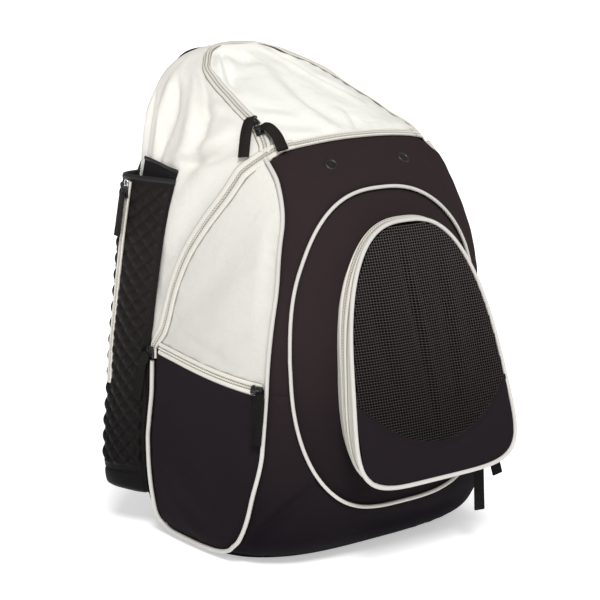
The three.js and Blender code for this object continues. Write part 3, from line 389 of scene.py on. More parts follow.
class Shape:
    """Vertices, faces and cloth coordinates gathered for one object."""

    def __init__(self):
        self.points, self.faces, self.coords, self.count = [], [], [], 0

    def add(self, points, faces, coords=None):
        points = np.asarray(points, float).reshape(-1, 3)
        faces = np.asarray(faces, int)
        self.points.append(points)
        self.faces += (faces + self.count).tolist()
        if coords is None:
            coords = points[faces][..., :2]
        self.coords.append(np.asarray(coords, float).reshape(-1, 2))
        self.count += len(points)

    def join(self, other):
        self.points += other.points
        self.faces += [[v + self.count for v in f] for f in other.faces]
        self.coords += other.coords
        self.count += other.count

    def grid(self, p, wrap_rows=False, wrap_columns=False, keep=None):
        rows, columns = p.shape[:2]
        u = np.linalg.norm(np.diff(p, axis=1, append=p[:, :1]), axis=-1)
        v = np.linalg.norm(np.diff(p, axis=0, append=p[:1]), axis=-1)
        u = np.concatenate([np.zeros((rows, 1)), np.cumsum(u, 1)], 1)
        u = u - (0 if wrap_columns else u[:, columns // 2:columns // 2 + 1])
        u = np.concatenate([u, u[:1]])
        v = np.concatenate([[0], np.cumsum(np.median(v, 1))])
        spans = np.arange(rows - (not wrap_rows)), np.arange(columns - (not wrap_columns))
        i, j = (a.ravel() for a in np.meshgrid(*spans, indexing="ij"))
        if keep is not None:
            inside = keep[i, j]
            i, j = i[inside], j[inside]
        corner = ((i, j), (i, j + 1), (i + 1, j + 1), (i + 1, j))
        faces = np.stack([(a % rows) * columns + b % columns for a, b in corner], 1)
        coords = np.stack([np.stack([u[a, b], v[a]], 1) for a, b in corner], 1)
        self.add(p.reshape(-1, 3), faces, coords)

    def fan(self, centre, rim, downward=False):
        """Triangles from a centre to a ring of points."""
        i = np.arange(len(rim))
        after = (i + 1) % len(rim)
        first, second = (after, i) if downward else (i, after)
        self.add(np.concatenate([[centre], rim]), np.stack([0 * i, 1 + first, 1 + second], 1))

    def sweep(self, points, normals, section, closed=False):
        side, normal, _ = frames_along(points, normals, closed)
        section = np.asarray(section, float)
        section = np.broadcast_to(section, (len(points),) + section.shape[-2:])
        p = points[:, None] + side[:, None] * section[..., :1] + normal[:, None] * section[..., 1:]
        first = self.count
        self.grid(p, wrap_rows=closed, wrap_columns=True)
        if not closed:
            k = section.shape[1]
            last = first + (len(points) - 1) * k
            for start, order in ((first, range(k)), (last, range(k - 1, -1, -1))):
                self.faces.append([start + o for o in order])
                self.coords.append(np.zeros((k, 2)))

    def make(self, name, material, slot, nodes=(), wall=0.0, mirror=False):
        points = np.concatenate(self.points) * MM
        faces = self.faces
        coords = np.concatenate(self.coords) * MM
        if mirror:
            points = points * [-1, 1, 1]
            ends = np.cumsum([len(f) for f in faces])
            starts = np.concatenate([[0], ends[:-1]])
            order = np.concatenate([np.arange(e - 1, s - 1, -1) for s, e in zip(starts, ends)])
            coords = coords[order]
            faces = [f[::-1] for f in faces]
        label = f"{name}_fine" if nodes else name
        mesh = bpy.data.meshes.new(label)
        mesh.from_pydata(points.tolist(), [], faces)
        layer = mesh.uv_layers.new(name="cloth")
        layer.data.foreach_set("uv", coords.astype(np.float32).ravel())
        mesh.polygons.foreach_set("use_smooth", np.ones(len(faces), bool))
        mesh.materials.append(material)
        piece = bpy.data.objects.new(label, mesh)
        bpy.context.scene.collection.objects.link(piece)
        if wall:
            solid = piece.modifiers.new("wall", "SOLIDIFY")
            solid.thickness = wall * MM
            solid.offset = -1
        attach(piece, "root")
        if nodes:
            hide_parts(*nodes)
        return piece

    def pair(self, name, material, slot, nodes=(), wall=0.0):
        pieces = []
        for hand in HANDS:
            own = [f"{n}_{hand}" for n in nodes]
            pieces.append(self.make(f"{name}_{hand}", material, slot, own, wall, hand == "right"))
        return pieces

    def make_all(self, paired, *details):
        return self.pair(*details) if paired else [self.make(*details)]


def swept(*details, **more):
    shape = Shape()
    shape.sweep(*details, **more)
    return shape


def circle(sides):
    return np.linspace(0, 2 * np.pi, sides + 1)[:-1]


def ring(radius, sides=10):
    a = np.linspace(0, 2 * np.pi, sides, endpoint=False)
    return np.stack([radius * np.cos(a), radius * np.sin(a)], 1)


def ribbon(low, high, crown=0.0):
    """Flat section one unit wide with rounded edges and a slight crown."""
    x = np.linspace(-1, 1, 7)
    lift = high + crown * (1 - x * x) - (high - low) * 0.35 * np.abs(x) ** 6
    top = np.stack([x / 2, lift], 1)
    bottom = np.stack([x[::-1] / 2, np.full(7, low)], 1)
    return np.concatenate([bottom, top])


def strip_section(shoulder, edge):
    """Section two units wide and high, with its corners cut off."""
    right = [(shoulder, -1), (1, -edge), (1, edge), (shoulder, 1)]
    left = [(-x, y) for x, y in right]
    return np.array([left[1], left[0], *right, left[3], left[2]])


def scaled(section, width, height):
    """One section for each point of a path, with the width and height given there."""
    return section[None] * np.stack(np.broadcast_arrays(width, height), 1)[:, None]


def stitches(shape, points, normals, lift=0.3, pitch=3.4, length=2.5, width=0.7, height=0.4):
    """Row of raised stitches along a path."""
    points, normals = even(points, pitch, np.broadcast_to(normals, points.shape))
    side, normal, tangent = frames_along(points, normals)
    centre = points + normal * lift
    corners = [-tangent * length / 2, side * width / 2, tangent * length / 2, -side * width / 2,
               normal * height, -normal * height]
    p = np.stack([centre + c for c in corners], 1)
    faces = np.array([(0, 1, 4), (1, 2, 4), (2, 3, 4), (3, 0, 4), (1, 0, 5), (2, 1, 5), (3, 2, 5), (0, 3, 5)])
    count = len(points)
    shape.add(p, (faces[None] + 6 * np.arange(count)[:, None, None]).reshape(-1, 3))


# Materials

class Graph:
    """Small helper for a material's nodes."""

    def __init__(self, name):
        self.material = bpy.data.materials.new(name)
        self.material.use_nodes = True
        self.tree = self.material.node_tree
        self.shader = self.tree.nodes["Principled BSDF"]
        self.uv = self.node("ShaderNodeUVMap")
        self.uv.uv_map = "cloth"
        split = self.node("ShaderNodeSeparateXYZ")
        self.tree.links.new(self.uv.outputs["UV"], split.inputs[0])
        self.u, self.v = split.outputs[0], split.outputs[1]
        self.place = self.node("ShaderNodeTexCoord").outputs["Object"]

    def node(self, kind):
        return self.tree.nodes.new(kind)

    def put(self, socket, value):
        if isinstance(value, bpy.types.NodeSocket):
            self.tree.links.new(value, socket)
        else:
            socket.default_value = value

    def math(self, operation, a, b=0.0):
        n = self.node("ShaderNodeMath")
        n.operation = operation
        self.put(n.inputs[0], a)
        self.put(n.inputs[1], b)
        return n.outputs[0]

    def wave(self, axis, pitch):
        """Sine of a cloth coordinate with a pitch in millimetres."""
        return self.math("SINE", self.math("MULTIPLY", axis, 2 * math.pi / (pitch * MM)))

    def painted_shade_below(self, colour, low, foot, full):
        """Colour with painted shade: it darkens downwards between two heights."""
        split = self.node("ShaderNodeSeparateXYZ")
        self.tree.links.new(self.place, split.inputs[0])
        rise = self.span(split.outputs[2], 0.0, 1.0, foot, full)
        n = self.node("ShaderNodeVectorMath")
        n.operation = "MULTIPLY"
        self.put(n.inputs[0], colour)
        self.put(n.inputs[1], self.blend(rise, (*low, 1), (1, 1, 1, 1)))
        return n.outputs[0]

    def noise(self, scale, detail=3.0, rough=0.55):
        n = self.node("ShaderNodeTexNoise")
        self.put(n.inputs["Vector"], self.place)
        n.inputs["Scale"].default_value = scale
        n.inputs["Detail"].default_value = detail
        n.inputs["Roughness"].default_value = rough
        return n.outputs["Fac"]

    def span(self, value, low, high, from_low=0.0, from_high=1.0):
        n = self.node("ShaderNodeMapRange")
        self.put(n.inputs["Value"], value)
        limits = {"From Min": from_low, "From Max": from_high, "To Min": low, "To Max": high}
        for name, number in limits.items():
            n.inputs[name].default_value = number
        return n.outputs["Result"]

    def blend(self, share, a, b):
        n = self.node("ShaderNodeMix")
        n.data_type = "RGBA"
        self.put(n.inputs[0], share)
        self.put(n.inputs[6], a)
        self.put(n.inputs[7], b)
        return n.outputs[2]

    def finish(self, colour, rough, height, depth, strength=0.6):
        self.put(self.shader.inputs["Base Color"], colour)
        self.put(self.shader.inputs["Roughness"], rough)
        bump = self.node("ShaderNodeBump")
        bump.inputs["Strength"].default_value = strength
        bump.inputs["Distance"].default_value = depth * MM
        self.put(bump.inputs["Height"], height)
        self.put(self.shader.inputs["Normal"], bump.outputs["Normal"])
        return self.material


def tone(colour, factor):
    return tuple(min(c * factor, 1) for c in colour[:3]) + (1,)


def cloth(name, colour, rough, pitch, depth, contrast, mottle, specular=0.4, rip=0.0, crinkle=0.0,
          low=None, foot=0.02, full=0.24):
    """Plain weave with mottling and fibre, and optionally a ripstop grid, crinkles and a foot darkened by
    painted shade.
    """
    g = Graph(name)
    weave = g.math("MULTIPLY", g.wave(g.u, pitch), g.wave(g.v, pitch))
    fibre = g.noise(900, 2)
    slow = g.noise(14, 4)
    height = g.math("ADD", weave, g.math("MULTIPLY", fibre, 0.8))
    if rip:
        lines = [g.math("POWER", g.math("ABSOLUTE", g.wave(axis, 2 * rip)), 30) for axis in (g.u, g.v)]
        height = g.math("ADD", height, g.math("MULTIPLY", g.math("MAXIMUM", *lines), 1.4))
    if crinkle:
        creases = g.math("ABSOLUTE", g.math("SUBTRACT", g.noise(34, 2.0, 0.45), 0.5))
        height = g.math("ADD", height, g.math("MULTIPLY", creases, crinkle / depth))
    shade = g.math("ADD", g.math("MULTIPLY", weave, contrast / 2), g.span(slow, -mottle, mottle))
    shade = g.math("ADD", shade, g.span(fibre, -0.12, 0.12))
    mixed = g.blend(g.math("ADD", shade, 0.5), tone(colour, 0.72), tone(colour, 1.28))
    # Painted shade: the colour darkens towards the bottom.
    if low:
        mixed = g.painted_shade_below(mixed, low, foot, full)
    g.shader.inputs["Specular IOR Level"].default_value = specular
    return g.finish(mixed, g.span(slow, rough - 0.06, rough + 0.06), height, depth)


def ribbed(name, colour, rough, pitch, depth, sheen=0.1, specular=0.5, low=None, contrast=0.35):
    """Webbing or tape: ribs across its length with a fine twill."""
    g = Graph(name)
    ribs = g.wave(g.v, pitch)
    twill = g.wave(g.math("ADD", g.u, g.v), pitch * 0.8)
    fibre = g.noise(1100, 2)
    height = g.math("ADD", ribs, g.math("ADD", g.math("MULTIPLY", twill, 0.5), fibre))
    shade = g.math("ADD", g.math("MULTIPLY", ribs, 0.12), g.span(fibre, 0.3, 0.7))
    mixed = g.blend(shade, tone(colour, 1 - contrast), tone(colour, 1 + contrast))
    # Painted shade: the colour darkens towards the bottom.
    if low:
        mixed = g.painted_shade_below(mixed, low, 0.12, 0.34)
    g.shader.inputs["Sheen Weight"].default_value = sheen
    g.shader.inputs["Specular IOR Level"].default_value = specular
    return g.finish(mixed, g.span(fibre, rough - 0.08, rough + 0.08), height, depth)


def moulded(name, colour, rough, metal=0.0):
    g = Graph(name)
    grain = g.noise(700, 3)
    wear = g.noise(60, 4)
    mixed = g.blend(g.span(wear, 0.2, 0.8), tone(colour, 0.8), tone(colour, 1.3))
    g.shader.inputs["Metallic"].default_value = metal
    return g.finish(mixed, g.span(wear, rough - 0.08, rough + 0.12), grain, 0.05, 0.3)


NYLON = dict(
    rough=0.42, pitch=1.1, depth=0.06, contrast=0.05, mottle=0.05, specular=0.25, rip=5.0, crinkle=3.6)
POLYESTER = dict(rough=0.86, pitch=0.95, depth=0.10, contrast=0.35, mottle=0.25, specular=0.05)
# Copies of one white nylon, each darker towards the bottom: painted shade.
WHITE = cloth("white_nylon", (0.815, 0.795, 0.735), **NYLON, low=(0.78,) * 3, foot=0.24, full=0.47)
# The side's copy is darker: painted shade against the stronger light the side takes.
SIDE_WHITE = cloth("white_side_nylon", (0.70, 0.682, 0.630), **NYLON, low=(0.90,) * 3, foot=0.24, full=0.40)
# The side pocket's copy is darker still: partly its own greyer tone, partly painted shade.
POCKET_WHITE = cloth("white_pocket_nylon", (0.64, 0.622, 0.575), **NYLON, low=(0.86,) * 3, foot=0.22,
                     full=0.40)
# Darker and bluer towards the bottom: painted shade.
BLACK = cloth("black_polyester", (0.0248, 0.0170, 0.0180), **POLYESTER, low=(0.20, 0.23, 0.34))
# A darker copy of the black polyester for the lower panels: painted shade, also darker towards the bottom.
LOW_BLACK = cloth("lower_black_painted_shade", (0.0164, 0.0120, 0.0152), **POLYESTER, low=(0.6,) * 3)
STRAP = cloth("strap_cloth", (0.014, 0.0122, 0.0126), 0.8, 1.5, 0.14, 0.4, 0.2, 0.08)
# Darker towards the bottom: painted shade.
QUILT = cloth("quilted_cloth", (0.0135, 0.0110, 0.0104), 0.42, 0.8, 0.06, 0.3, 0.2, 0.08,
              low=(0.1,) * 3, full=0.3)
# Near-black stand-in for shade, not a cloth of the bag: painted shade behind the net and in the eyelets.
SHADE_BLACK = cloth("painted_shade_black", (0.0018, 0.0014, 0.0015), 0.9, 0.9, 0.08, 0.3, 0.2, 0.02)
CREAM = ribbed("cream_tape", (0.655, 0.63, 0.57), 0.66, 0.8, 0.06, 0.0, 0.25)
CORD = cloth("cream_piping", (0.540, 0.517, 0.486), 0.6, 0.9, 0.06, 0.1, 0.1)
COIL = moulded("zip_coil", (0.66, 0.63, 0.575), 0.42)
# A dark ribbon under each zip's tapes: painted shadow in the gaps beside the tapes and the coil.
ZIP_SHADE = ribbed("zip_painted_shadow", (0.33, 0.305, 0.27), 0.8, 0.8, 0.05, 0.0, 0.2)
# Darker towards the bottom, painted shade; its strong random contrast paints glints as bright flecks on the
# thread.
NET = ribbed("net_thread", (0.080, 0.068, 0.065), 0.4, 0.5, 0.04, 0.0, 0.15, low=(0.30,) * 3, contrast=0.95)
# Darker towards the bottom: painted shade.
WEBBING = ribbed("black_webbing", (0.0140, 0.0110, 0.0098), 0.55, 1.5, 0.2, 0.0, 0.10, low=(0.3,) * 3)
SATIN = ribbed("satin_binding", (0.009, 0.0085, 0.0085), 0.4, 0.7, 0.05, 0.02, 0.3)
PLASTIC = moulded("moulded_plastic", (0.008, 0.008, 0.0085), 0.36)
STEEL = moulded("bright_ring", (0.55, 0.55, 0.56), 0.25, 1.0)
PALE_THREAD = ribbed("pale_thread", (0.62, 0.59, 0.54), 0.6, 0.6, 0.04)
DARK_THREAD = ribbed("dark_thread", (0.013, 0.011, 0.012), 0.6, 0.6, 0.04, 0.0, 0.15)


# Body panels

def cloth_lengths(p):
    """Distance across and along a grid of places, from its first column and its first row."""
    across = np.linalg.norm(np.diff(p, axis=1, prepend=p[:, :1]), axis=-1)
    along = np.linalg.norm(np.diff(p, axis=0, prepend=p[:1]), axis=-1)
    return np.cumsum(across, 1), np.cumsum(along, 0)


def tucked(edge, depth=1.5, width=3.2):
    """How far cloth sinks into a seam at a distance from it."""
    return depth * np.exp(-(edge / width) ** 2)


def gathers(u, v, size):
    """Small puckers that run in from a panel's sewn edges and die out."""
    near_side, near_end = np.minimum(u, u[:, -1:] - u), np.minimum(v, v[-1:] - v)
    total = np.zeros(u.shape)
    for edge, along in ((near_side, v), (near_end, u)):
        wave = np.sin(along / 3.3 + 1.9 * np.sin(along / 23))
        total += wave * smooth(edge, 0.5, 4) * np.exp(-(edge / 13) ** 2)
    return size * total


def panel(name, material, slot, place, columns, rows, folds=(), bumpy=0.3, paired=False, keep=None,
          lift=None):
    """Sewn panel on the body: edges tucked into the seams, folds and slow unevenness on the face."""
    s = np.linspace(0, 1, columns + 1)[None, :]
    t = np.linspace(0, 1, rows + 1)[:, None]
    turn, z = (np.broadcast_to(a, (rows + 1, columns + 1)) for a in place(s, t))
    p = body_point(turn, z)
    u, v = cloth_lengths(p)
    edge = np.minimum(np.minimum(u, u[:, -1:] - u), np.minimum(v, v[-1:] - v))
    drop = tucked(edge) + smooth(edge, 2, 16) * (fold_depth(turn, z, folds) + ripple(u, v, bumpy))
    drop = drop + gathers(u, v, 1.4 * bumpy)
    if lift is not None:
        drop = drop - lift(turn, z, p)
    for hand in ("_left", "_right") if paired else ("",):
        at = 180 - turn if hand == "_right" else turn
        cloth_face = body_point(at, z) - body_normal(at, z) * drop[..., None]
        if hand == "_right":
            cloth_face = cloth_face[:, ::-1]
        shape = Shape()
        shape.grid(cloth_face, keep=None if keep is None else keep(p))
        piece = shape.make(name + hand, material, slot, [name + hand], wall=CLOTH_WALL)


def gap_turn(z):
    """The gap at a seam as a turn."""
    return np.degrees(SEAM_GAP / read(BODY, "half", z))


def side_upper_place(s, t):
    z = mix(SIDE_SPLIT + SEAM_GAP, TOP - SEAM_GAP, t)
    return mix(-BACK_SEAM_TURN + gap_turn(z), upper_edge(z) - gap_turn(z), s), z


def side_pocket_place(s, t):
    z = mix(lower_seam(s) + SEAM_GAP, SIDE_POCKET_TOP, t)
    return mix(upper_edge(z) + gap_turn(z), front_seam(z) - gap_turn(z), s), z


def lower_pocket_place(s, t):
    z = mix(PANEL_FOOT, lower_seam(s) - SEAM_GAP, t)
    return mix(lower_back(z) + gap_turn(z), front_seam(z) - gap_turn(z), s), z


def rear_corner_place(s, t):
    z = mix(PANEL_FOOT, SIDE_SPLIT - SEAM_GAP, t)
    return mix(-BACK_SEAM_TURN + gap_turn(z), lower_back(z) - gap_turn(z), s), z


def back_place(s, t):
    z = mix(PANEL_FOOT, TOP - SEAM_GAP, t)
    return mix(180 + BACK_SEAM_TURN, 360 - BACK_SEAM_TURN, s), z


def front_place(s, t):
    z = mix(PANEL_FOOT, lid_edge(s) - SEAM_GAP, t)
    seam = front_seam(np.minimum(z, LID_CORNER)) + gap_turn(z)
    return mix(seam, 180 - seam, s), z


def front_keep(p):
    """Leaves out the front's faces behind the oval panel."""
    outside = outline_share(INSERT, p[..., 0], p[..., 2]) > 0.95
    return outside[:-1, :-1] | outside[1:, 1:]


# The front's soft right corner stands out over its seam, and a sewn line crosses the front
RIGHT_BULGE = {"rise": 6.2, "from_seam": 16, "width": 11, "mm_per_turn": 3.6}
SEWN_LINE = {"z": 190.5, "width": 1.1, "depth": 1.1}
BEHIND_INSERT = 3.2


def front_lift(turn, z, p):
    share = outline_share(INSERT, p[..., 0], p[..., 2])
    line = np.exp(-((z - SEWN_LINE["z"]) / SEWN_LINE["width"]) ** 2) * smooth(share, 1.0, 1.04)
    inside_seam = (180 - front_seam(np.minimum(z, LID_CORNER)) - turn) * RIGHT_BULGE["mm_per_turn"]
    from_crest = (inside_seam - RIGHT_BULGE["from_seam"]) / RIGHT_BULGE["width"]
    bulge = RIGHT_BULGE["rise"] * np.exp(-from_crest ** 2) * smooth(inside_seam, 3, 12)
    bulge = bulge * smooth(share, 1.0, 1.08) * smooth(z, 225, 290) * smooth(-z, -419, -400)
    return bulge - BEHIND_INSERT * smooth(-share, -1.03, -0.985) - SEWN_LINE["depth"] * line


panel("side_upper", SIDE_WHITE, "white_nylon", side_upper_place, 74, 104, SIDE_FOLDS, 0.35, paired=True)
panel("side_pocket", POCKET_WHITE, "white_nylon", side_pocket_place, 54, 76, SIDE_POCKET_FOLDS, paired=True)
panel("lower_pocket", LOW_BLACK, "black_polyester", lower_pocket_place, 62, 70, LOWER_POCKET_FOLDS,
      paired=True)
panel("rear_corner", LOW_BLACK, "black_polyester", rear_corner_place, 30, 66, paired=True)
panel("back_panel", BLACK, "black_polyester", back_place, 80, 118, BACK_FOLDS, 0.6)
panel("front_panel", BLACK, "black_polyester", front_place, 132, 150, FRONT_FOLDS,
      keep=front_keep, lift=front_lift)


def top_lid():
    rows, columns, cap = 86, 72, 10
    s = np.linspace(0, 1, columns + 1)[None, :]
    t = np.linspace(0, 1, rows + 1)[:, None]
    z = mix(lid_edge(s) + SEAM_GAP, TOP, t)
    level = mix(LID_CORNER, TOP, t)
    edge_turn = upper_edge(level) + gap_turn(level)
    turn = mix(edge_turn, 180 - edge_turn, s)
    p = body_point(turn, z)
    u, v = cloth_lengths(p)
    edge = np.minimum(np.minimum(u, u[:, -1:] - u), v)
    below_top = smooth(TOP - z, 1, 14)
    drop = tucked(edge)
    drop += smooth(edge, 2, 18) * below_top * (fold_depth(turn, z, LID_FOLDS) + ripple(u, v, 0.4))
    drop += below_top * gathers(u, v, 0.5)
    slope = p - body_normal(turn, z) * drop[..., None]
    front = body_point(turn[-1], np.full(columns + 1, TOP))
    back = body_point(-turn[-1], np.full(columns + 1, TOP))
    middle = (front + back) / 2
    far = middle + (back - middle) * 0.97
    crown = [mix(front, far, k) + [0, 0, -0.6 * k] for k in np.linspace(0, 1, cap + 1)[1:]]
    shape = Shape()
    whole = np.concatenate([slope, np.stack(crown)])
    shape.grid(whole)
    ends = np.linspace(turn[-1, 0], -turn[-1, 0], cap + 1)
    chord = whole[-cap - 1:, 0]
    bow = body_point(ends, np.full(cap + 1, TOP - 0.3))
    corner = np.stack([mix(bow, chord, k) for k in np.linspace(0, 1, 5)], 1)
    shape.grid(corner)
    shape.grid(corner[:, ::-1] * [-1, 1, 1])
    lid = shape.make("top_lid", WHITE, "white_nylon", ["top_lid"], wall=CLOTH_WALL)


def base_panel():
    angle = np.linspace(0, 360, 145)[:-1]
    edge = body_point(angle, 0.0)
    centre = np.array([0, -20, 0])
    rows = [mix(centre, edge, k) for k in np.linspace(0.02, 1, 26)]
    rows += [body_point(angle, z) for z in (1.2, 2.6, 4.2, BASE_RIM)]
    shape = Shape()
    shape.grid(np.stack(rows), wrap_columns=True)
    shape.fan(centre, rows[0], downward=True)
    floor_cloth = shape.make("base_panel", BLACK, "black_polyester", ["base_panel"], wall=CLOTH_WALL)


def front_insert():
    share = np.concatenate([np.linspace(0.02, 0.9, 36), np.linspace(0.915, 1, 9)])[:, None]
    x, z = outline(INSERT, circle(200)[None], -SEAM_GAP, share)
    turn = turn_at_x(x, z)
    edge = (1 - share) * 127
    sunk = fold_depth(turn, z, INSERT_FOLDS) + ripple(x, z, 0.3)
    drop = tucked(edge, 1.6, 3.4) + smooth(edge, 2, 14) * sunk
    shape = Shape()
    p = on_body(turn, z, insert_lift(x, z) - drop)
    shape.grid(p[::-1], wrap_columns=True)
    shape.fan(p[0].mean(0), p[0])
    oval = shape.make("front_insert", BLACK, "black_polyester", ["front_insert"], wall=CLOTH_WALL)


top_lid()
base_panel()
front_insert()


# Front pocket

FACING = np.array([0, -1.0, 0])
ZIP_SHARE = 0.45


def mesh_seam(x):
    return MESH_SEAM["middle"] + MESH_SEAM["rise"] * (x / POCKET_RIM["half"]) ** 2


def face_y(x, z):
    share = np.minimum(outline_share(POCKET_RIM, x, z), 1)
    pleats = 0.0
    for x0, z0, x1, z1, width, depth in NET_PLEATS:
        k = np.clip((z - z0) / (z1 - z0), 0, 1)
        away = (x - mix(x0, x1, k)) / width
        fade = np.sin(np.pi * k) ** 0.7
        pleats = pleats + depth * fade * (np.exp(-away ** 2) - 0.6 * np.exp(-(away - 1.8) ** 2))
    plain = read(POCKET_FACE, "y", z) - FACE_DOME * (1 - share ** 2) - WALL
    return plain + pleats * smooth(z - mesh_seam(x), 0, 14) * smooth(1 - share, 0, 0.1)


def on_face(x, z, lift):
    x, z = np.broadcast_arrays(np.asarray(x, float), np.asarray(z, float))
    return np.stack([x, face_y(x, z) - lift, z], -1)


def gusset_ends(angle):
    foot_x, foot_z = outline(POCKET_FOOT, angle)
    rim_x, rim_z = outline(POCKET_RIM, angle)
    seat = on_front(foot_x, foot_z, insert_lift(foot_x, foot_z))
    return seat, np.stack([rim_x, read(POCKET_FACE, "y", rim_z), rim_z], -1)


def gusset_frame(angle, lift):
    """Place of the zip round the pocket, the directions across and outward there, and the gusset's depth."""
    seat, edge = gusset_ends(angle)
    side = unit(edge - seat)
    before, at, after = (mix(*gusset_ends(angle + step), ZIP_SHARE) for step in (-0.02, 0, 0.02))
    normal = unit(np.cross(unit(after - before), side))
    return at + normal * lift, side, normal, np.linalg.norm(edge - seat, axis=-1)


def pocket_gusset():
    angle = circle(300)
    seat, edge = gusset_ends(angle)
    _, _, normal, _ = gusset_frame(angle, 0)
    rows = []
    for k in np.linspace(-0.06, 1, 16):
        bulge = 1.4 * np.sin(np.pi * k) - 1.0 * np.exp(-((k - ZIP_SHARE) / 0.05) ** 2)
        rows.append(mix(seat, edge, k) + normal * (bulge - 1.0))
    shape = Shape()
    shape.grid(np.stack(rows), wrap_columns=True)
    band = shape.make("pocket_gusset", CREAM, "cream_trim", ["pocket_gusset"], wall=1.6)


# A near-black sheet just behind the net: painted shade for the inside of the pocket, seen through the holes.
def net_shade_sheet(net):
    x, z = outline(POCKET_RIM, circle(180)[None], 0.3, np.linspace(0.02, 1, 34)[:, None])
    shape = Shape()
    p = on_face(x, z, -1.1)
    shape.grid(p[::-1], wrap_columns=True)
    shape.fan(p[0].mean(0), p[0])
    shade_sheet = shape.make("net_shade_sheet", SHADE_BLACK, "net")


def pocket_net():
    """Open net: flat strands both ways that pass over and under each other round small holes."""
    across, rise, wide, tall, thin = 3.2, 2.65, 0.38, 0.35, 0.36
    shape = Shape()
    section = ring(1.0, 4)
    columns = np.arange(-POCKET_RIM["half"], POCKET_RIM["half"] + 0.1, across)
    levels = np.arange(140, 352, rise)

    def strand(x, z, index, first, width):
        x, z = np.broadcast_arrays(x, z)
        step = np.arange(len(x))
        wave = np.where(step % 2 == 0, np.where((step // 2 + index) % 2 == 0, first, -first), 0.0)
        inside = (outline_share(POCKET_RIM, x, z) < 1.0) & (z > mesh_seam(x) - 1.5)
        runs = np.split(step, np.nonzero(np.diff(inside.astype(int)))[0] + 1)
        for run in runs:
            if len(run) > 2 and inside[run[0]]:
                points = on_face(x[run], z[run], 0.2 + 0.24 * wave[run])
                shape.sweep(points, FACING, section * [width, thin])

    for i, x in enumerate(columns):
        strand(x, np.arange(levels[0], levels[-1] + 0.1, rise / 2), i, 1.0, wide)
    for j, z in enumerate(levels):
        strand(np.arange(columns[0], columns[-1] + 0.1, across / 2), z, j, -1.0, tall)
    return shape.make("pocket_mesh", NET, "net", ["pocket_mesh"])


def rim_bottom(x):
    """Height of the pocket rim's lower edge, found by repeated steps because its half width tapers."""
    z = np.full(np.shape(x), POCKET_RIM["middle"] - POCKET_RIM["down"], float)
    for _ in range(12):
        inside = np.maximum(1 - (np.abs(x) / outline_half(POCKET_RIM, z)) ** POCKET_RIM["down_power"], 0)
        z = POCKET_RIM["middle"] - POCKET_RIM["down"] * inside ** (1 / POCKET_RIM["down_power"])
    return z


def pocket_lower_face():
    s = np.sin(np.linspace(-np.pi / 2, np.pi / 2, 81))[None, :]
    x = 101.5 * s * np.ones((37, 1))
    top = mesh_seam(x)
    low = np.minimum(rim_bottom(x), top - 0.1)
    z = mix(low, top, np.linspace(0, 1, 37)[:, None])
    hem = 0.9 * smooth(top - z, 7.5, 5.5) * smooth(top - z, -0.5, 1.2)
    shape = Shape()
    below = on_face(x, z, hem - 0.2 + 0.25 * np.sin(x / 17) * np.sin(z / 13))
    shape.grid(below)
    face = shape.make("pocket_lower_face", LOW_BLACK, "black_polyester", ["pocket_lower_face"], wall=1.4)
    rows = Shape()
    line = np.linspace(-94, 94, 180)
    for down in (2.0, 5.4):
        stitches(rows, on_face(line, mesh_seam(line) - down, 1.0), FACING, lift=0.1)
    thread = rows.make("pocket_face_stitches", DARK_THREAD, "black_polyester")


pocket_gusset()
net_shade_sheet(pocket_net())
pocket_lower_face()


# Bat sleeves

FLAP_LIFT = SLEEVE_SEAT + 1.2
QUILT_CELL = {"across": 17.6, "along": 17.4, "rise": 3.1}
UPRIGHT = np.array([0, 0, 1.0])


def side_x(y, z):
    return -body_point(turn_at_y(y, z), z)[..., 0]


def sleeve_y(q, z):
    return mix(read(SLEEVE, "front", z), read(SLEEVE, "back", z), q)


def sleeve_lift(q, z):
    full = read(SLEEVE, "outer", z) - side_x(sleeve_y(SLEEVE_CREST, z), z)
    past = np.clip((q - SLEEVE_CREST) / (1 - SLEEVE_CREST), 0, 1)
    rise = (np.clip(q, 0, SLEEVE_CREST) / SLEEVE_CREST) ** 0.85
    return full * np.where(q <= SLEEVE_CREST, rise, np.sqrt(np.maximum(1 - past ** 2, 0)))


def sleeve_point(q, z, lift):
    q, z, lift = np.broadcast_arrays(np.asarray(q, float), np.asarray(z, float), np.asarray(lift, float))
    y = sleeve_y(q, z)
    return np.stack([-side_x(y, z) - lift, y, z], -1)


def sleeve_strip(z):
    """Where the zip runs across the sleeve at a height."""
    return mix(0.735, 0.66, smooth(z, 150, 390))


def sleeve_skin(q, z, lift=0.0):
    return sleeve_point(q, z, SLEEVE_SEAT + WALL + sleeve_lift(q, z) + lift)


def sleeve_steps(count):
    """Even steps round the sleeve's skin, measured at one height, and its length there."""
    q = np.concatenate([np.linspace(0, 0.9, 120), np.linspace(0.9025, 1, 80)])
    length = path_length(sleeve_skin(q, np.full(len(q), 200.0)))
    return np.interp(np.linspace(0, length[-1], count + 1), length, q), length[-1]


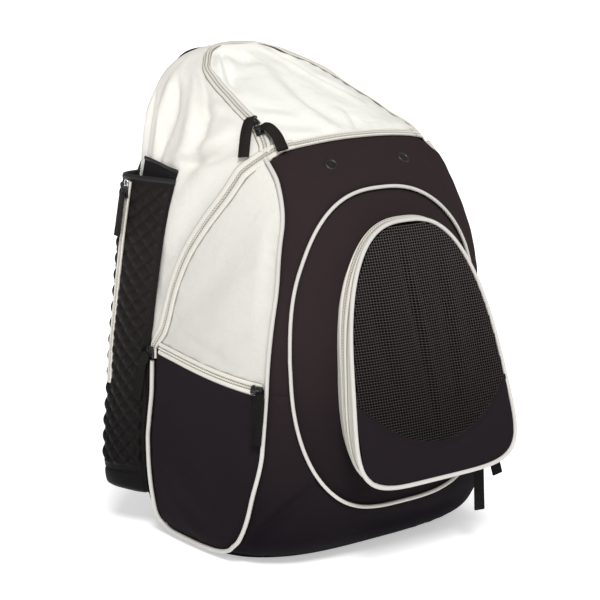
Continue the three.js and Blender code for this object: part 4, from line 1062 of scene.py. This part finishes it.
def bat_sleeve(columns, around):
    """Quilted pouch with a plain strip under its zip and sewn lines at its foot and its front."""
    levels = np.concatenate([np.linspace(45, 56, 7)[:-1], np.linspace(56, SLEEVE_RIM, 214)])
    q, z = np.meshgrid(columns, levels)
    p = sleeve_skin(q, z)
    u = np.linspace(0, around, len(columns))[None, :]
    across, along = u / QUILT_CELL["across"], z / QUILT_CELL["along"]
    diamond = np.abs(np.sin(np.pi * (across + along)) * np.sin(np.pi * (across - along))) ** 0.5
    inner = smooth(u, 3, 8) * smooth(around - u, 3, 8) * smooth(z, 74, 78) * smooth(-z, -378, -374)
    under_zip = np.exp(-((q - sleeve_strip(z)) / 0.05) ** 4) * smooth(z, 150, 160) * smooth(-z, -392, -384)
    inner = inner * (1 - under_zip)
    seam = np.exp(-((z - 70) / 1.4) ** 2) + np.exp(-((u - 3) / 1.6) ** 2)
    slack = 1.2 * np.sin(z / 31 + 0.8) * np.sin(np.pi * np.clip(q, 0, 1)) * smooth(-z, -380, -330)
    normal = unit(np.cross(unit(np.gradient(p, axis=0)), unit(np.gradient(p, axis=1))))
    normal[:, 0] = normal[:, 1]
    quilted = p + normal * (QUILT_CELL["rise"] * diamond * inner - 0.9 * seam - 0.3 + slack * 0.6)[..., None]
    shape = Shape()
    shape.grid(quilted[:, ::-1])
    pieces = shape.pair("bat_sleeve", QUILT, "quilted_cloth", ["bat_sleeve"], wall=1.6)


def sleeve_flap():
    """The taller flap behind the pouch. Gives back its upper edge."""
    levels = np.concatenate([np.linspace(0, 0.9, 50), np.linspace(0.91, 1, 14)])
    q, level = np.meshgrid(np.linspace(0.01, SLEEVE_FLAP_END, 60), levels)
    z = mix(46, mix(SLEEVE_FLAP_FRONT, SLEEVE_FLAP_BACK, q / SLEEVE_FLAP_END), level)
    lying = sleeve_point(q, z, FLAP_LIFT + 0.8 * np.sin(q * 9) * smooth(z, 350, 395))
    shape = Shape()
    shape.grid(lying[:, ::-1])
    shape.pair("sleeve_flap", STRAP, "quilted_cloth", wall=1.2)
    return lying[-1]


def sleeve_binding(columns, flap_edge):
    rim = sleeve_skin(columns, np.full(len(columns), SLEEVE_RIM - 1.4), -1.4)
    shape = Shape()
    shape.sweep(even(rim, 2.2), UPRIGHT, ring(1.7, 10) * [1.0, 2.0])
    shape.sweep(even(flap_edge, 2.2), UPRIGHT, ring(1.3, 8) * [1.0, 1.8])
    shape.pair("sleeve_binding", SATIN, "quilted_cloth")


SLEEVE_COLUMNS, SLEEVE_AROUND = sleeve_steps(88)
bat_sleeve(SLEEVE_COLUMNS, SLEEVE_AROUND)
sleeve_binding(SLEEVE_COLUMNS, sleeve_flap())


# Piping

PIPING_RADIUS = 2.25
INSERT_PIPING_RADIUS = 1.9
ANGLES = circle(360)


def side_piping():
    """Down the front seam, along the foot and up the lower pocket's back edge."""
    top, corner, foot, back_top = 415, 18, 9, 196
    down, up = np.linspace(top, corner, 120), np.linspace(corner, back_top, 70)
    t = np.linspace(0, 1, 60)[1:-1]
    along = mix(foot, mix(foot, corner, 0.98), np.abs(2 * t - 1) ** 7)
    z = np.concatenate([down, along, up])
    turn = np.concatenate([front_seam(down), mix(front_seam(corner), lower_back(corner), t), lower_back(up)])
    points, normals = even(on_body(turn, z, 2.4), 2.4, body_normal(turn, z))
    shape = swept(points, unit(normals), ring(PIPING_RADIUS, 12))
    shape.pair("side_piping", CORD, "cream_trim", ["side_piping"])


def round_piping(name, points, radius):
    swept(points, FACING, ring(radius, 12), closed=True).make(name, CORD, "cream_trim", [name])


def pocket_piping():
    x, z = outline(POCKET_RIM, ANGLES, 2.4)
    round_piping("pocket_piping", np.stack([x, read(POCKET_FACE, "y", z) - 1.1, z], -1), PIPING_RADIUS)


side_piping()
round_piping("insert_piping", on_front(*outline(INSERT, ANGLES), 2.0), INSERT_PIPING_RADIUS)
pocket_piping()


# Zips

ZIP_GAP = 2.1
ZIP_STEP = 1.5
ZIP_LIFT = 0.9
ZIP_WIDTHS = {"lid": 11.5, "lid_front": 8.5, "side": 17.0, "lower": 12.5, "pocket": 13, "sleeve": 8.0}
TOOTH = {"wide": 0.95, "long": 0.55, "high": 0.8, "aside": 0.35, "lift": 0.2}
# The _edge part is the dark ribbon under the tapes: painted shadow.
ZIP_PARTS = (("", CREAM), ("_coil", COIL), ("_stitches", PALE_THREAD), ("_edge", ZIP_SHADE))


def zip_runs(points, normals, width, closed, lift):
    """Two tapes, the coil's teeth between them, stitches along them and a dark ribbon under them that paints
    the shadow in the gaps, as four shapes.
    """
    width = np.broadcast_to(np.asarray(width, float), len(points))
    if closed:
        points, normals, width = (np.concatenate([a, a[:1]]) for a in (points, normals, width))
    points, normals, width = even(points, ZIP_STEP, normals, width)
    if closed:
        points, normals, width = points[:-1], normals[:-1], width[:-1]
    side, normal, tangent = frames_along(points, unit(normals), closed)
    tapes, coil, thread, shade = Shape(), Shape(), Shape(), Shape()
    # Dark ribbon a little wider than the zip: painted shadow along its gaps.
    base = scaled(ribbon(-0.4, 0.3), width[:, 0] + 1.7, 1.0)
    shade.sweep(points + normal * (lift - 0.6), normal, base, closed)
    strip = width / 2 - ZIP_GAP
    section = scaled(ribbon(0.0, 1.0, 0.35), strip[:, 0], 1.0)
    for sign in (-1, 1):
        middle = points + side * sign * (ZIP_GAP + strip / 2) + normal * (lift - 0.5)
        tapes.sweep(middle, normal, section, closed)
        line = points + side * sign * (width / 2 - 1.3) + normal * (lift + 0.6)
        stitches(thread, line, normal, lift=0.0, pitch=3.0, length=2.2, width=0.5, height=0.3)
    count = len(points)
    turns = np.where(np.arange(count) % 2 == 0, 1.0, -1.0)[:, None]
    centre = points + side * turns * TOOTH["aside"] + normal * (lift + TOOTH["lift"])
    corners = []
    for high, wide, long in ((-1, 1, 1), (1, 0.75, 0.7)):
        for a, b in ((-1, -1), (1, -1), (1, 1), (-1, 1)):
            level = centre + side * TOOTH["wide"] * a * wide + tangent * TOOTH["long"] * b * long
            corners.append(level + normal * TOOTH["high"] * high)
    faces = np.array([(0, 3, 2, 1), (4, 5, 6, 7), (0, 1, 5, 4), (1, 2, 6, 5), (2, 3, 7, 6), (3, 0, 4, 7)])
    coil.add(np.stack(corners, 1), (faces[None] + 8 * np.arange(count)[:, None, None]).reshape(-1, 4))
    return tapes, coil, thread, shade


def zip_fastener(name, runs, paired=False):
    """A zip from one or more runs, each given as points, normals, width, closing and lift."""
    parts = zip_runs(*runs[0])
    for run in runs[1:]:
        for whole, more in zip(parts, zip_runs(*run)):
            whole.join(more)
    for part, (suffix, material) in zip(parts, ZIP_PARTS):
        part.make_all(paired, name + suffix, material, "cream_trim", [] if suffix else [name])


def body_run(turn, z, width, lift=ZIP_LIFT):
    return body_point(turn, z), body_normal(turn, z), width, False, lift


def front_band(s):
    corner = upper_edge(LID_CORNER)
    return mix(corner, 180 - corner, s), lid_edge(s) + 1


def lid_zip():
    """One run up the left of the lid, over its top and down the right, and a run along its front edge."""
    steps = 300
    z = np.linspace(421, 501, 40)
    turn = upper_edge(z)
    over = np.array([
        (-45, 93, 507.8), (-36.5, 98, 511.2), (-27, 101.5, 513.2), (-14, 104.5, 514.2), (0, 106, 514.5)])
    tilt = unit(np.stack([over[:, 0] / 60, np.full(len(over), -0.3), np.ones(len(over))], 1))
    flip = np.array([-1.0, 1, 1])
    points = np.concatenate([body_point(turn, z), over, over[-2::-1] * flip, body_point(180 - turn, z)[::-1]])
    normals = [body_normal(turn, z), tilt, tilt[-2::-1] * flip, body_normal(180 - turn, z)[::-1]]
    _, carried = spread(points, steps, np.concatenate(normals))
    share = np.abs(np.linspace(-1, 1, steps + 1))
    width = ZIP_WIDTHS["lid"] - 5.0 * smooth(-share, -0.45, -0.3)
    over_top = curve_through(points, steps), unit(carried), width, False, ZIP_LIFT
    along_front = body_run(*front_band(np.linspace(0.1, 0.9, 90)), ZIP_WIDTHS["lid_front"], 1.1)
    zip_fastener("lid_zip", [over_top, along_front])


def side_zip_turn(z):
    return np.where(z >= SIDE_SPLIT, upper_edge(z), lower_back(z))


def side_zip():
    """From the lower pocket's back edge up the diagonal, then round into the lid's front edge."""
    z = np.concatenate([np.linspace(199, 214, 6), np.linspace(219, 404, 60)])
    bend_turn, bend_z = front_band(np.linspace(0.07, 0.13, 5))
    turn = np.concatenate([side_zip_turn(z), bend_turn])
    z = np.concatenate([z, bend_z])
    points = curve_through(body_point(turn, z)[::2], 240)
    y, z = points[:, 1], points[:, 2]
    normals = body_normal(np.where(y < read(BODY, "widest", z), turn_at_y(y, z), 0), z)
    share = np.linspace(0, 1, len(points))
    width = ZIP_WIDTHS["side"] - 8.0 * smooth(-share, -0.16, -0.02) - 6.5 * smooth(share, 0.86, 1.0)
    points = points + normals * (0.9 * smooth(share, 0.7, 0.9))[:, None]
    zip_fastener("side_zip", [(points, normals, width, False, 1.2)], paired=True)


def lower_zip():
    s = np.linspace(0.1, 0.97, 70)
    z = lower_seam(s)
    turn = mix(lower_back(z), front_seam(z), s)
    zip_fastener("lower_zip", [body_run(turn, z, ZIP_WIDTHS["lower"])], paired=True)


def pocket_zip():
    point, _, normal, depth = gusset_frame(ANGLES, 0.4)
    width = np.minimum(ZIP_WIDTHS["pocket"], depth * 0.52)
    zip_fastener("pocket_zip", [(point, normal, width, True, ZIP_LIFT)])


SLEEVE_OUT = unit(np.array([-0.99, 0.10, 0]))


def sleeve_zip_point(z, lift):
    return sleeve_skin(sleeve_strip(z), z, 0.9) + SLEEVE_OUT * lift


def sleeve_zip():
    points = sleeve_zip_point(np.linspace(379, 164, 80), 0.1)
    outward = np.broadcast_to(SLEEVE_OUT, points.shape)
    zip_fastener("sleeve_zip", [(points, outward, ZIP_WIDTHS["sleeve"], False, ZIP_LIFT)], paired=True)


lid_zip()
side_zip()
lower_zip()
pocket_zip()
sleeve_zip()


# Zip sliders and pulls

ON_ZIP = 2.7
ON_SLIDER = 6.7
PULL_LENGTH = 54
PULL_WIDTH = 11.5
# Angle round the front pocket, length, gap to the slider and swing to the right
POCKET_PULLS = ((-0.86, 58, 3.5, 3), (-0.66, 50, 4.3, 16))
SLEEVE_SLIDER_Z = 368.0
SLEEVE_RING_Z = 377.0
SLEEVE_PULL_LENGTH = 46


def slider_shape(point, side, normal):
    """Slider body with a waist, a bridge over it and the ring that holds the pull."""
    along = np.cross(normal, side)
    lengths = np.linspace(-6, 6, 13)
    width = 4.5 - 1.3 * smooth(-lengths, -1, 6) - 0.35 * np.exp(-(lengths / 2.0) ** 2)
    shape = Shape()
    path = point + along * lengths[:, None] + normal * 1.3
    base = np.array([(-1, -0.9), (1, -0.9), (1, 0.35), (0.72, 0.8), (-0.72, 0.8), (-1, 0.35)])
    shape.sweep(path, normal, scaled(base, width, 1.2))
    arch = np.linspace(0, np.pi, 15)[:, None]
    bridge = point + along * 3.6 * np.cos(arch) + normal * (1.6 + 2.0 * np.sin(arch) ** 0.6)
    shape.sweep(bridge, side, ring(0.95, 8) * [0.8, 1.5])
    a = circle(28)[:, None]
    squared = np.sign(np.sin(a)) * np.abs(np.sin(a)) ** 0.6
    loop = point + normal * (3.0 + 0.6 * np.cos(a)) + side * 4.6 * squared - along * (2.6 - 2.9 * np.cos(a))
    shape.sweep(loop, normal, ring(0.75, 8), closed=True)
    return shape


def pull_shape(points, outward):
    """Folded webbing strip with two rows of stitches at its end."""
    steps, sewn = 84, slice(58, 82)
    path = curve_through(points, steps)
    share = np.linspace(0, 1, steps + 1)
    half = PULL_WIDTH / 2 * mix(0.62, 1, smooth(share, 0.0, 0.1))
    thick = 0.95 + 0.16 * np.cos(share * steps * 2 * np.pi / 2.8) + 0.25 * smooth(share, 0.8, 0.84)
    side, normal, _ = frames_along(path, np.broadcast_to(outward, path.shape))
    shape, thread = Shape(), Shape()
    shape.sweep(path + normal * 0.9, normal, scaled(strip_section(0.86, 0.55), half, thick))
    for offset in (-0.34, 0.34):
        line = path[sewn] + side[sewn] * PULL_WIDTH * offset + normal[sewn] * 2.1
        stitches(thread, line, normal[sewn], lift=0.0, pitch=2.2, length=1.6, width=0.4, height=0.25)
    return shape, thread


def hardware(name, frame_at, pull_points, outward, paired=False):
    strip, thread = pull_shape(pull_points, unit(np.asarray(outward, float)))
    for part, suffix, material, slot in (
            (slider_shape(*frame_at), "_slider", PLASTIC, "moulded_plastic"),
            (strip, "_pull", WEBBING, "webbing"),
            (thread, "_pull_stitches", DARK_THREAD, "webbing")):
        part.make_all(paired, name + suffix, material, slot, [] if part is thread else [name + suffix])


def slider_frame(place, toward):
    """Place, side and outward direction of a slider on the body that points toward another place."""
    tangent = unit(on_body(*toward) - on_body(*place))
    side = unit(np.cross(tangent, body_normal(*place)))
    return on_body(*place, ON_ZIP), side, unit(np.cross(side, tangent))


def body_slider(name, places, pulls, paired=False):
    t, h, lift = np.array(pulls, float).T
    middle = len(t) // 2
    hardware(name, slider_frame(*places), on_body(t, h, lift), body_normal(t[middle], h[middle]), paired)


def lid_sliders():
    def edge(z):
        return float(upper_edge(float(z)))

    body_slider("lid_1", ((edge(446), 446), (edge(441), 441)), (
        (edge(446) - 1, 446, ON_SLIDER + 0.6), (edge(440) - 5, 436, ON_SLIDER - 1.5),
        (edge(440) - 9, 414, 4.5)))
    body_slider("lid_2", ((edge(438), 438), (edge(433), 433)), (
        (edge(438) + 1, 438.5, ON_SLIDER), (edge(438) + 3, 438, ON_SLIDER + 1.5),
        (edge(438) + 4.5, 432, ON_SLIDER + 0.5), (edge(438) + 4.7, 420, 6)))


def side_slider():
    z, ahead = 205.0, 6
    turn = float(side_zip_turn(z))
    hang = [on_body(turn, z, ON_SLIDER + 1.2)]
    for t in (0.26, 0.62, 1.0):
        q, level = mix(0.04, 0.12, t), z - t * PULL_LENGTH
        over_sleeve = float(sleeve_lift(np.array(q), np.array(level))) + SLEEVE_SEAT + WALL + 1.6
        hang.append(sleeve_point(q, level, max(over_sleeve, ON_SLIDER + 0.4)))
    toward = float(side_zip_turn(z - ahead)), z - ahead
    hardware("side", slider_frame((turn, z), toward), hang, (-1, -0.3, 0), paired=True)


def lower_slider():
    s, nose, ahead = 0.945, 0.015, 0.05

    def turn_at(share, level):
        return float(mix(lower_back(level), front_seam(level), share))

    z, later = float(lower_seam(s)), float(lower_seam(s + ahead))
    pulls = [(turn_at(s + nose, z - d) + 0.4, z - 2 - d, max(ON_SLIDER - i * 0.8, 5.6))
             for i, d in enumerate((0, 10, 25, 40, PULL_LENGTH))]
    body_slider("lower", ((turn_at(s, z), z), (turn_at(s + ahead, later), later)), pulls, paired=True)


def pocket_sliders():
    for index, (angle, drop, gap, swing) in enumerate(POCKET_PULLS):
        point, side, normal, _ = gusset_frame(angle, ON_ZIP)
        start = point + normal * (3.6 + gap)
        hang = [start + np.array([t * swing, 0, -t * drop]) for t in (0, 0.3, 0.65, 1)]
        hardware(f"pocket_{index + 1}", (point, side, normal), hang, (-0.3, -1, 0))


def sleeve_slider():
    top = np.array(SLEEVE_SLIDER_Z)
    side = unit(np.cross(-UPRIGHT, SLEEVE_OUT))
    hang = [sleeve_zip_point(top - t * SLEEVE_PULL_LENGTH, 6.2) for t in (0, 0.2, 0.55, 1)]
    hardware("sleeve", (sleeve_zip_point(top, 2.2), side, SLEEVE_OUT), hang, SLEEVE_OUT, paired=True)
    a = circle(24)[:, None]
    centre = sleeve_zip_point(np.array(SLEEVE_RING_Z), 4.0)
    loop = centre + side * 3.4 * np.sin(a) + UPRIGHT * 4.4 * np.cos(a)
    swept(loop, SLEEVE_OUT, ring(0.8, 8), closed=True).pair("sleeve_ring", STEEL, "moulded_plastic")


lid_sliders()
side_slider()
lower_slider()
pocket_sliders()
sleeve_slider()


# Eyelets

EYELETS = {"left": -56.0, "right": 37.0}
EYELET_Z = 410.0
EYELET_SINK = 1.2
EYELET_PROFILE = (
    (6.9, -0.2), (7.0, 0.9), (6.4, 1.7), (5.5, 1.9), (4.6, 1.5), (4.0, 0.6), (3.7, -1.2), (3.7, -4))
HOLE_RADII = (4.0, 2.4, 0.6)


def grommet(hand, x):
    z, sides = EYELET_Z, 40
    turn = float(turn_at_x(x, z))
    normal = body_normal(turn, z)
    across = unit(np.cross(normal, UPRIGHT))
    up = np.cross(across, normal)
    centre = on_body(turn, z, -EYELET_SINK)
    a = circle(sides)[:, None]

    def round_at(radius, height):
        return centre + normal * height + (across * np.cos(a) + up * np.sin(a)) * radius

    shape = Shape()
    shape.grid(np.stack([round_at(r, h) for r, h in EYELET_PROFILE]), wrap_columns=True)
    shape.make(f"grommet_{hand}", PLASTIC, "moulded_plastic", [f"grommet_{hand}"])
    # The hole ends in a near-black disc: painted shade for the dark inside seen through the eyelet.
    hole = Shape()
    rings = [round_at(r, 0.2 - 0.6 * (1 - r / 4)) for r in HOLE_RADII]
    hole.grid(np.stack(rings), wrap_columns=True)
    hole.add(rings[-1], [list(range(sides))[::-1]])
    hole.make(f"grommet_hole_{hand}", SHADE_BLACK, "moulded_plastic")


for eyelet_hand, eyelet_x in EYELETS.items():
    grommet(eyelet_hand, eyelet_x)


# Carrying straps

STRAP_HALF = 31
STRAP_THICK = 5.4
BUCKLE = {"x": -107, "z": 154, "stand": 17.5, "half_width": 14.8, "half_length": 12.8, "bar": 14.6}
HAUL = {"half": 58, "foot": 462, "top": 492, "stand": 19, "width": 22, "thick": 2.8, "grip": (11.4, 2.6)}
WEBBING_WIDTH = 25
WEBBING_THICK = 2.2


def back_path(rows, steps):
    x, z, stand = np.array(rows, float).T
    path = curve_through(on_body(turn_at_x(x, z, behind=True), z, stand), steps)
    return path, body_normal(turn_at_x(path[:, 0], path[:, 2], behind=True), path[:, 2])


def shoulder_strap():
    rest = 11 / 2 + 0.8
    path, normal = back_path((
        (-47, 450, rest - 1.1), (-52, 425, rest + 5), (-60, 390, rest + 11), (-67, 355, rest + 25),
        (-80, 300, rest + 34), (-94, 230, rest + 24), (-104, 173, rest + 12.2)), 110)
    across = np.sin(np.linspace(-np.pi / 2, np.pi / 2, 29))
    share = np.linspace(0, 1, len(path))
    half = STRAP_HALF - 3 * smooth(-share, -0.05, 0.0) - 6 * smooth(share, 0.9, 1.0) ** 2
    thick = STRAP_THICK - 1.6 * smooth(-share, -0.06, 0.0) - 1.8 * smooth(share, 0.93, 1.0)
    quilt = 0.45 * np.abs(np.sin(share * np.pi * 9))
    profile = (1 - np.abs(across) ** 5) ** 0.4
    groove = 0.9 * np.exp(-((np.abs(across) - 0.8) / 0.035) ** 2)
    pads = quilt[:, None] * profile * (np.abs(across) < 0.75)
    top = np.stack([half[:, None] * across, thick[:, None] * profile - groove + pads], -1)
    low = np.stack([half[:, None] * across[::-1], -thick[:, None] * profile + groove], -1)
    shape = Shape()
    shape.sweep(path, normal, np.concatenate([low[:, :-1], top[:, :-1]], 1))
    for piece in shape.pair("shoulder_strap", STRAP, "padded_strap", ["shoulder_strap"]):
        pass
    side, out, _ = frames_along(path, normal)
    edge, thread = Shape(), Shape()
    for sign in (-1, 1):
        edge.sweep(path + side * (sign * (half - 0.4))[:, None], out, ring(1.7, 8) * [1.0, 1.35])
        line = path + side * (sign * half * 0.8)[:, None] + out * (thick * 0.86)[:, None]
        stitches(thread, line[3:-3], out[3:-3], lift=-0.1)
    edge.pair("strap_binding", SATIN, "padded_strap")
    thread.pair("strap_stitches", DARK_THREAD, "padded_strap")


def strap_buckle():
    """Ladder buckle: a rounded square loop with two bars across it."""
    rows = [(BUCKLE["x"], BUCKLE["z"] + r, BUCKLE["stand"] + r * 0.12) for r in (15, 0, -15)]
    path, normal = back_path(rows, 30)
    middle = len(path) // 2
    centre, across, face, along = (a[middle] for a in (path, *frames_along(path, normal)))

    def squared(a):
        return np.sign(a) * np.abs(a) ** 0.35

    corner = circle(48)[:, None]
    loop = centre + across * (BUCKLE["half_width"] * squared(np.cos(corner)))
    loop = loop + along * (BUCKLE["half_length"] * squared(np.sin(corner)))
    shape = Shape()
    shape.sweep(loop, face, ring(2.0, 10) * [1.0, 1.2], closed=True)
    span = np.linspace(-1, 1, 9)[:, None]
    for place in (-3.5, 4.5):
        bar = centre + along * place + across * span * BUCKLE["bar"] + face * 0.5
        shape.sweep(bar, face, ring(1.7, 10) * [1.3, 0.9])
    shape.pair("strap_buckle", PLASTIC, "moulded_plastic", ["strap_buckle"])


def flat_webbing(path, normal, width, thick):
    ribs = 1 + 0.08 * np.cos(np.arange(len(path)) * 2 * np.pi / 3)
    return swept(path, normal, scaled(strip_section(0.95, 0.5), width / 2, thick / 2 * ribs))


def strap_webbing():
    rest = 2.4 / 2 + 0.6
    path, normal = back_path((
        (-108, 139.5, 15.9), (-109, 120, 11.5), (-110, 95, 6.5), (-110, 70, rest + 0.2),
        (-109, 48, rest - 1.6)), 110)
    shape = flat_webbing(path, normal, WEBBING_WIDTH, WEBBING_THICK)
    shape.pair("strap_webbing", WEBBING, "webbing", ["strap_webbing"])


def haul_loop():
    rest, gripped = 3 / 2, slice(48, 103)
    across = 2 * np.linspace(0, 1, 17) - 1
    lift = np.sqrt(1 - np.minimum(np.abs(across) ** 3.4, 1))
    x = HAUL["half"] * across * (1 - 0.06 * (1 - lift))
    rows = np.stack([x, mix(HAUL["foot"], HAUL["top"], lift), rest + HAUL["stand"] * lift], 1)
    path, normal = back_path(rows, 150)
    loop = flat_webbing(path, normal, HAUL["width"], HAUL["thick"])
    loop.make("haul_loop", WEBBING, "webbing", ["haul_loop"])
    grip = swept(path[gripped], normal[gripped], ring(1.0, 20) * HAUL["grip"])
    grip.make("haul_grip", STRAP, "webbing")


shoulder_strap()
strap_buckle()
strap_webbing()
haul_loop()


# Seam stitches on the panels

def seam_stitches():
    dark, pale = Shape(), Shape()
    turn = np.linspace(43.2, 47.6, 14)
    z = np.full(14, 187.6)
    stitches(dark, on_body(turn, z, 0.1), body_normal(turn, z))
    z = np.linspace(500, 220, 120)
    turn = mix(-20, -38, smooth(-z, -500, -330))
    stitches(pale, on_body(turn, z, -0.15), body_normal(turn, z), lift=0.1, width=0.45, height=0.25)
    z = np.linspace(20, 205, 90)
    turn = np.full(90, -BACK_SEAM_TURN + 2.2)
    stitches(dark, on_body(turn, z, 0.0), body_normal(turn, z))
    dark.pair("panel_stitches", DARK_THREAD, "black_polyester")
    pale.pair("white_panel_stitches", PALE_THREAD, "white_nylon")


seam_stitches()


# Studio: floor, light and camera

FLOOR = {"reach": 12, "z": -0.0004, "glow": 0.48, "rough": 0.7, "specular": 0.2}
FLOOR_TONES = ((0.94, 0.94, 0.945, 1), (0.96, 0.96, 0.965, 1))
SKY_STRENGTH = 0.34
SUNS = (("key", (-0.36, -0.56, 0.75), 2.65, 20), ("front", (-0.25, -0.85, 0.55), 0.35, 50))
CAMERA = {"azimuth": -38, "elevation": 12, "distance": 2.014, "aim": (0, -0.010, 0.2432)}
SENSOR = 36
FOCAL_PIXELS = 1850
PHOTO_PIXELS = 600


def add_object(name, data):
    thing = bpy.data.objects.new(name, data)
    bpy.context.scene.collection.objects.link(thing)
    return thing


def studio_floor():
    mesh = bpy.data.meshes.new("floor")
    signs = ((-1, -1), (1, -1), (1, 1), (-1, 1))
    corners = [(x * FLOOR["reach"], y * FLOOR["reach"], FLOOR["z"]) for x, y in signs]
    mesh.from_pydata(corners, [], [(0, 1, 2, 3)])
    floor = add_object("floor", mesh)
    pale = Graph("pale_floor")
    mixed = pale.blend(pale.noise(3, 2), *FLOOR_TONES)
    pale.put(pale.shader.inputs["Base Color"], mixed)
    pale.put(pale.shader.inputs["Emission Color"], mixed)
    pale.shader.inputs["Emission Strength"].default_value = FLOOR["glow"]
    pale.shader.inputs["Roughness"].default_value = FLOOR["rough"]
    pale.shader.inputs["Specular IOR Level"].default_value = FLOOR["specular"]
    floor.data.materials.append(pale.material)


def studio_light():
    world = bpy.data.worlds.new("studio")
    world.use_nodes = True
    sky = world.node_tree.nodes["Background"]
    sky.inputs["Color"].default_value = (1.0, 1.0, 1.0, 1)
    sky.inputs["Strength"].default_value = SKY_STRENGTH
    bpy.context.scene.world = world
    for name, toward, power, angle in SUNS:
        light = bpy.data.lights.new(name, "SUN")
        light.energy = power
        light.angle = math.radians(angle)
        add_object(name, light).rotation_euler = Vector(toward).to_track_quat("Z", "Y").to_euler()


def studio_camera():
    azimuth, elevation = math.radians(CAMERA["azimuth"]), math.radians(CAMERA["elevation"])
    level = math.cos(elevation)
    away = Vector((math.sin(azimuth) * level, -math.cos(azimuth) * level, math.sin(elevation)))
    camera = bpy.data.cameras.new("camera")
    camera.sensor_width = SENSOR
    camera.lens = SENSOR * FOCAL_PIXELS / PHOTO_PIXELS
    eye = add_object("camera", camera)
    eye.location = Vector(CAMERA["aim"]) + away * CAMERA["distance"]
    eye.rotation_euler = (-away).to_track_quat("-Z", "Y").to_euler()
    bpy.context.scene.camera = eye
    bpy.context.scene.view_settings.view_transform = "Standard"


studio_floor()
studio_light()
studio_camera()
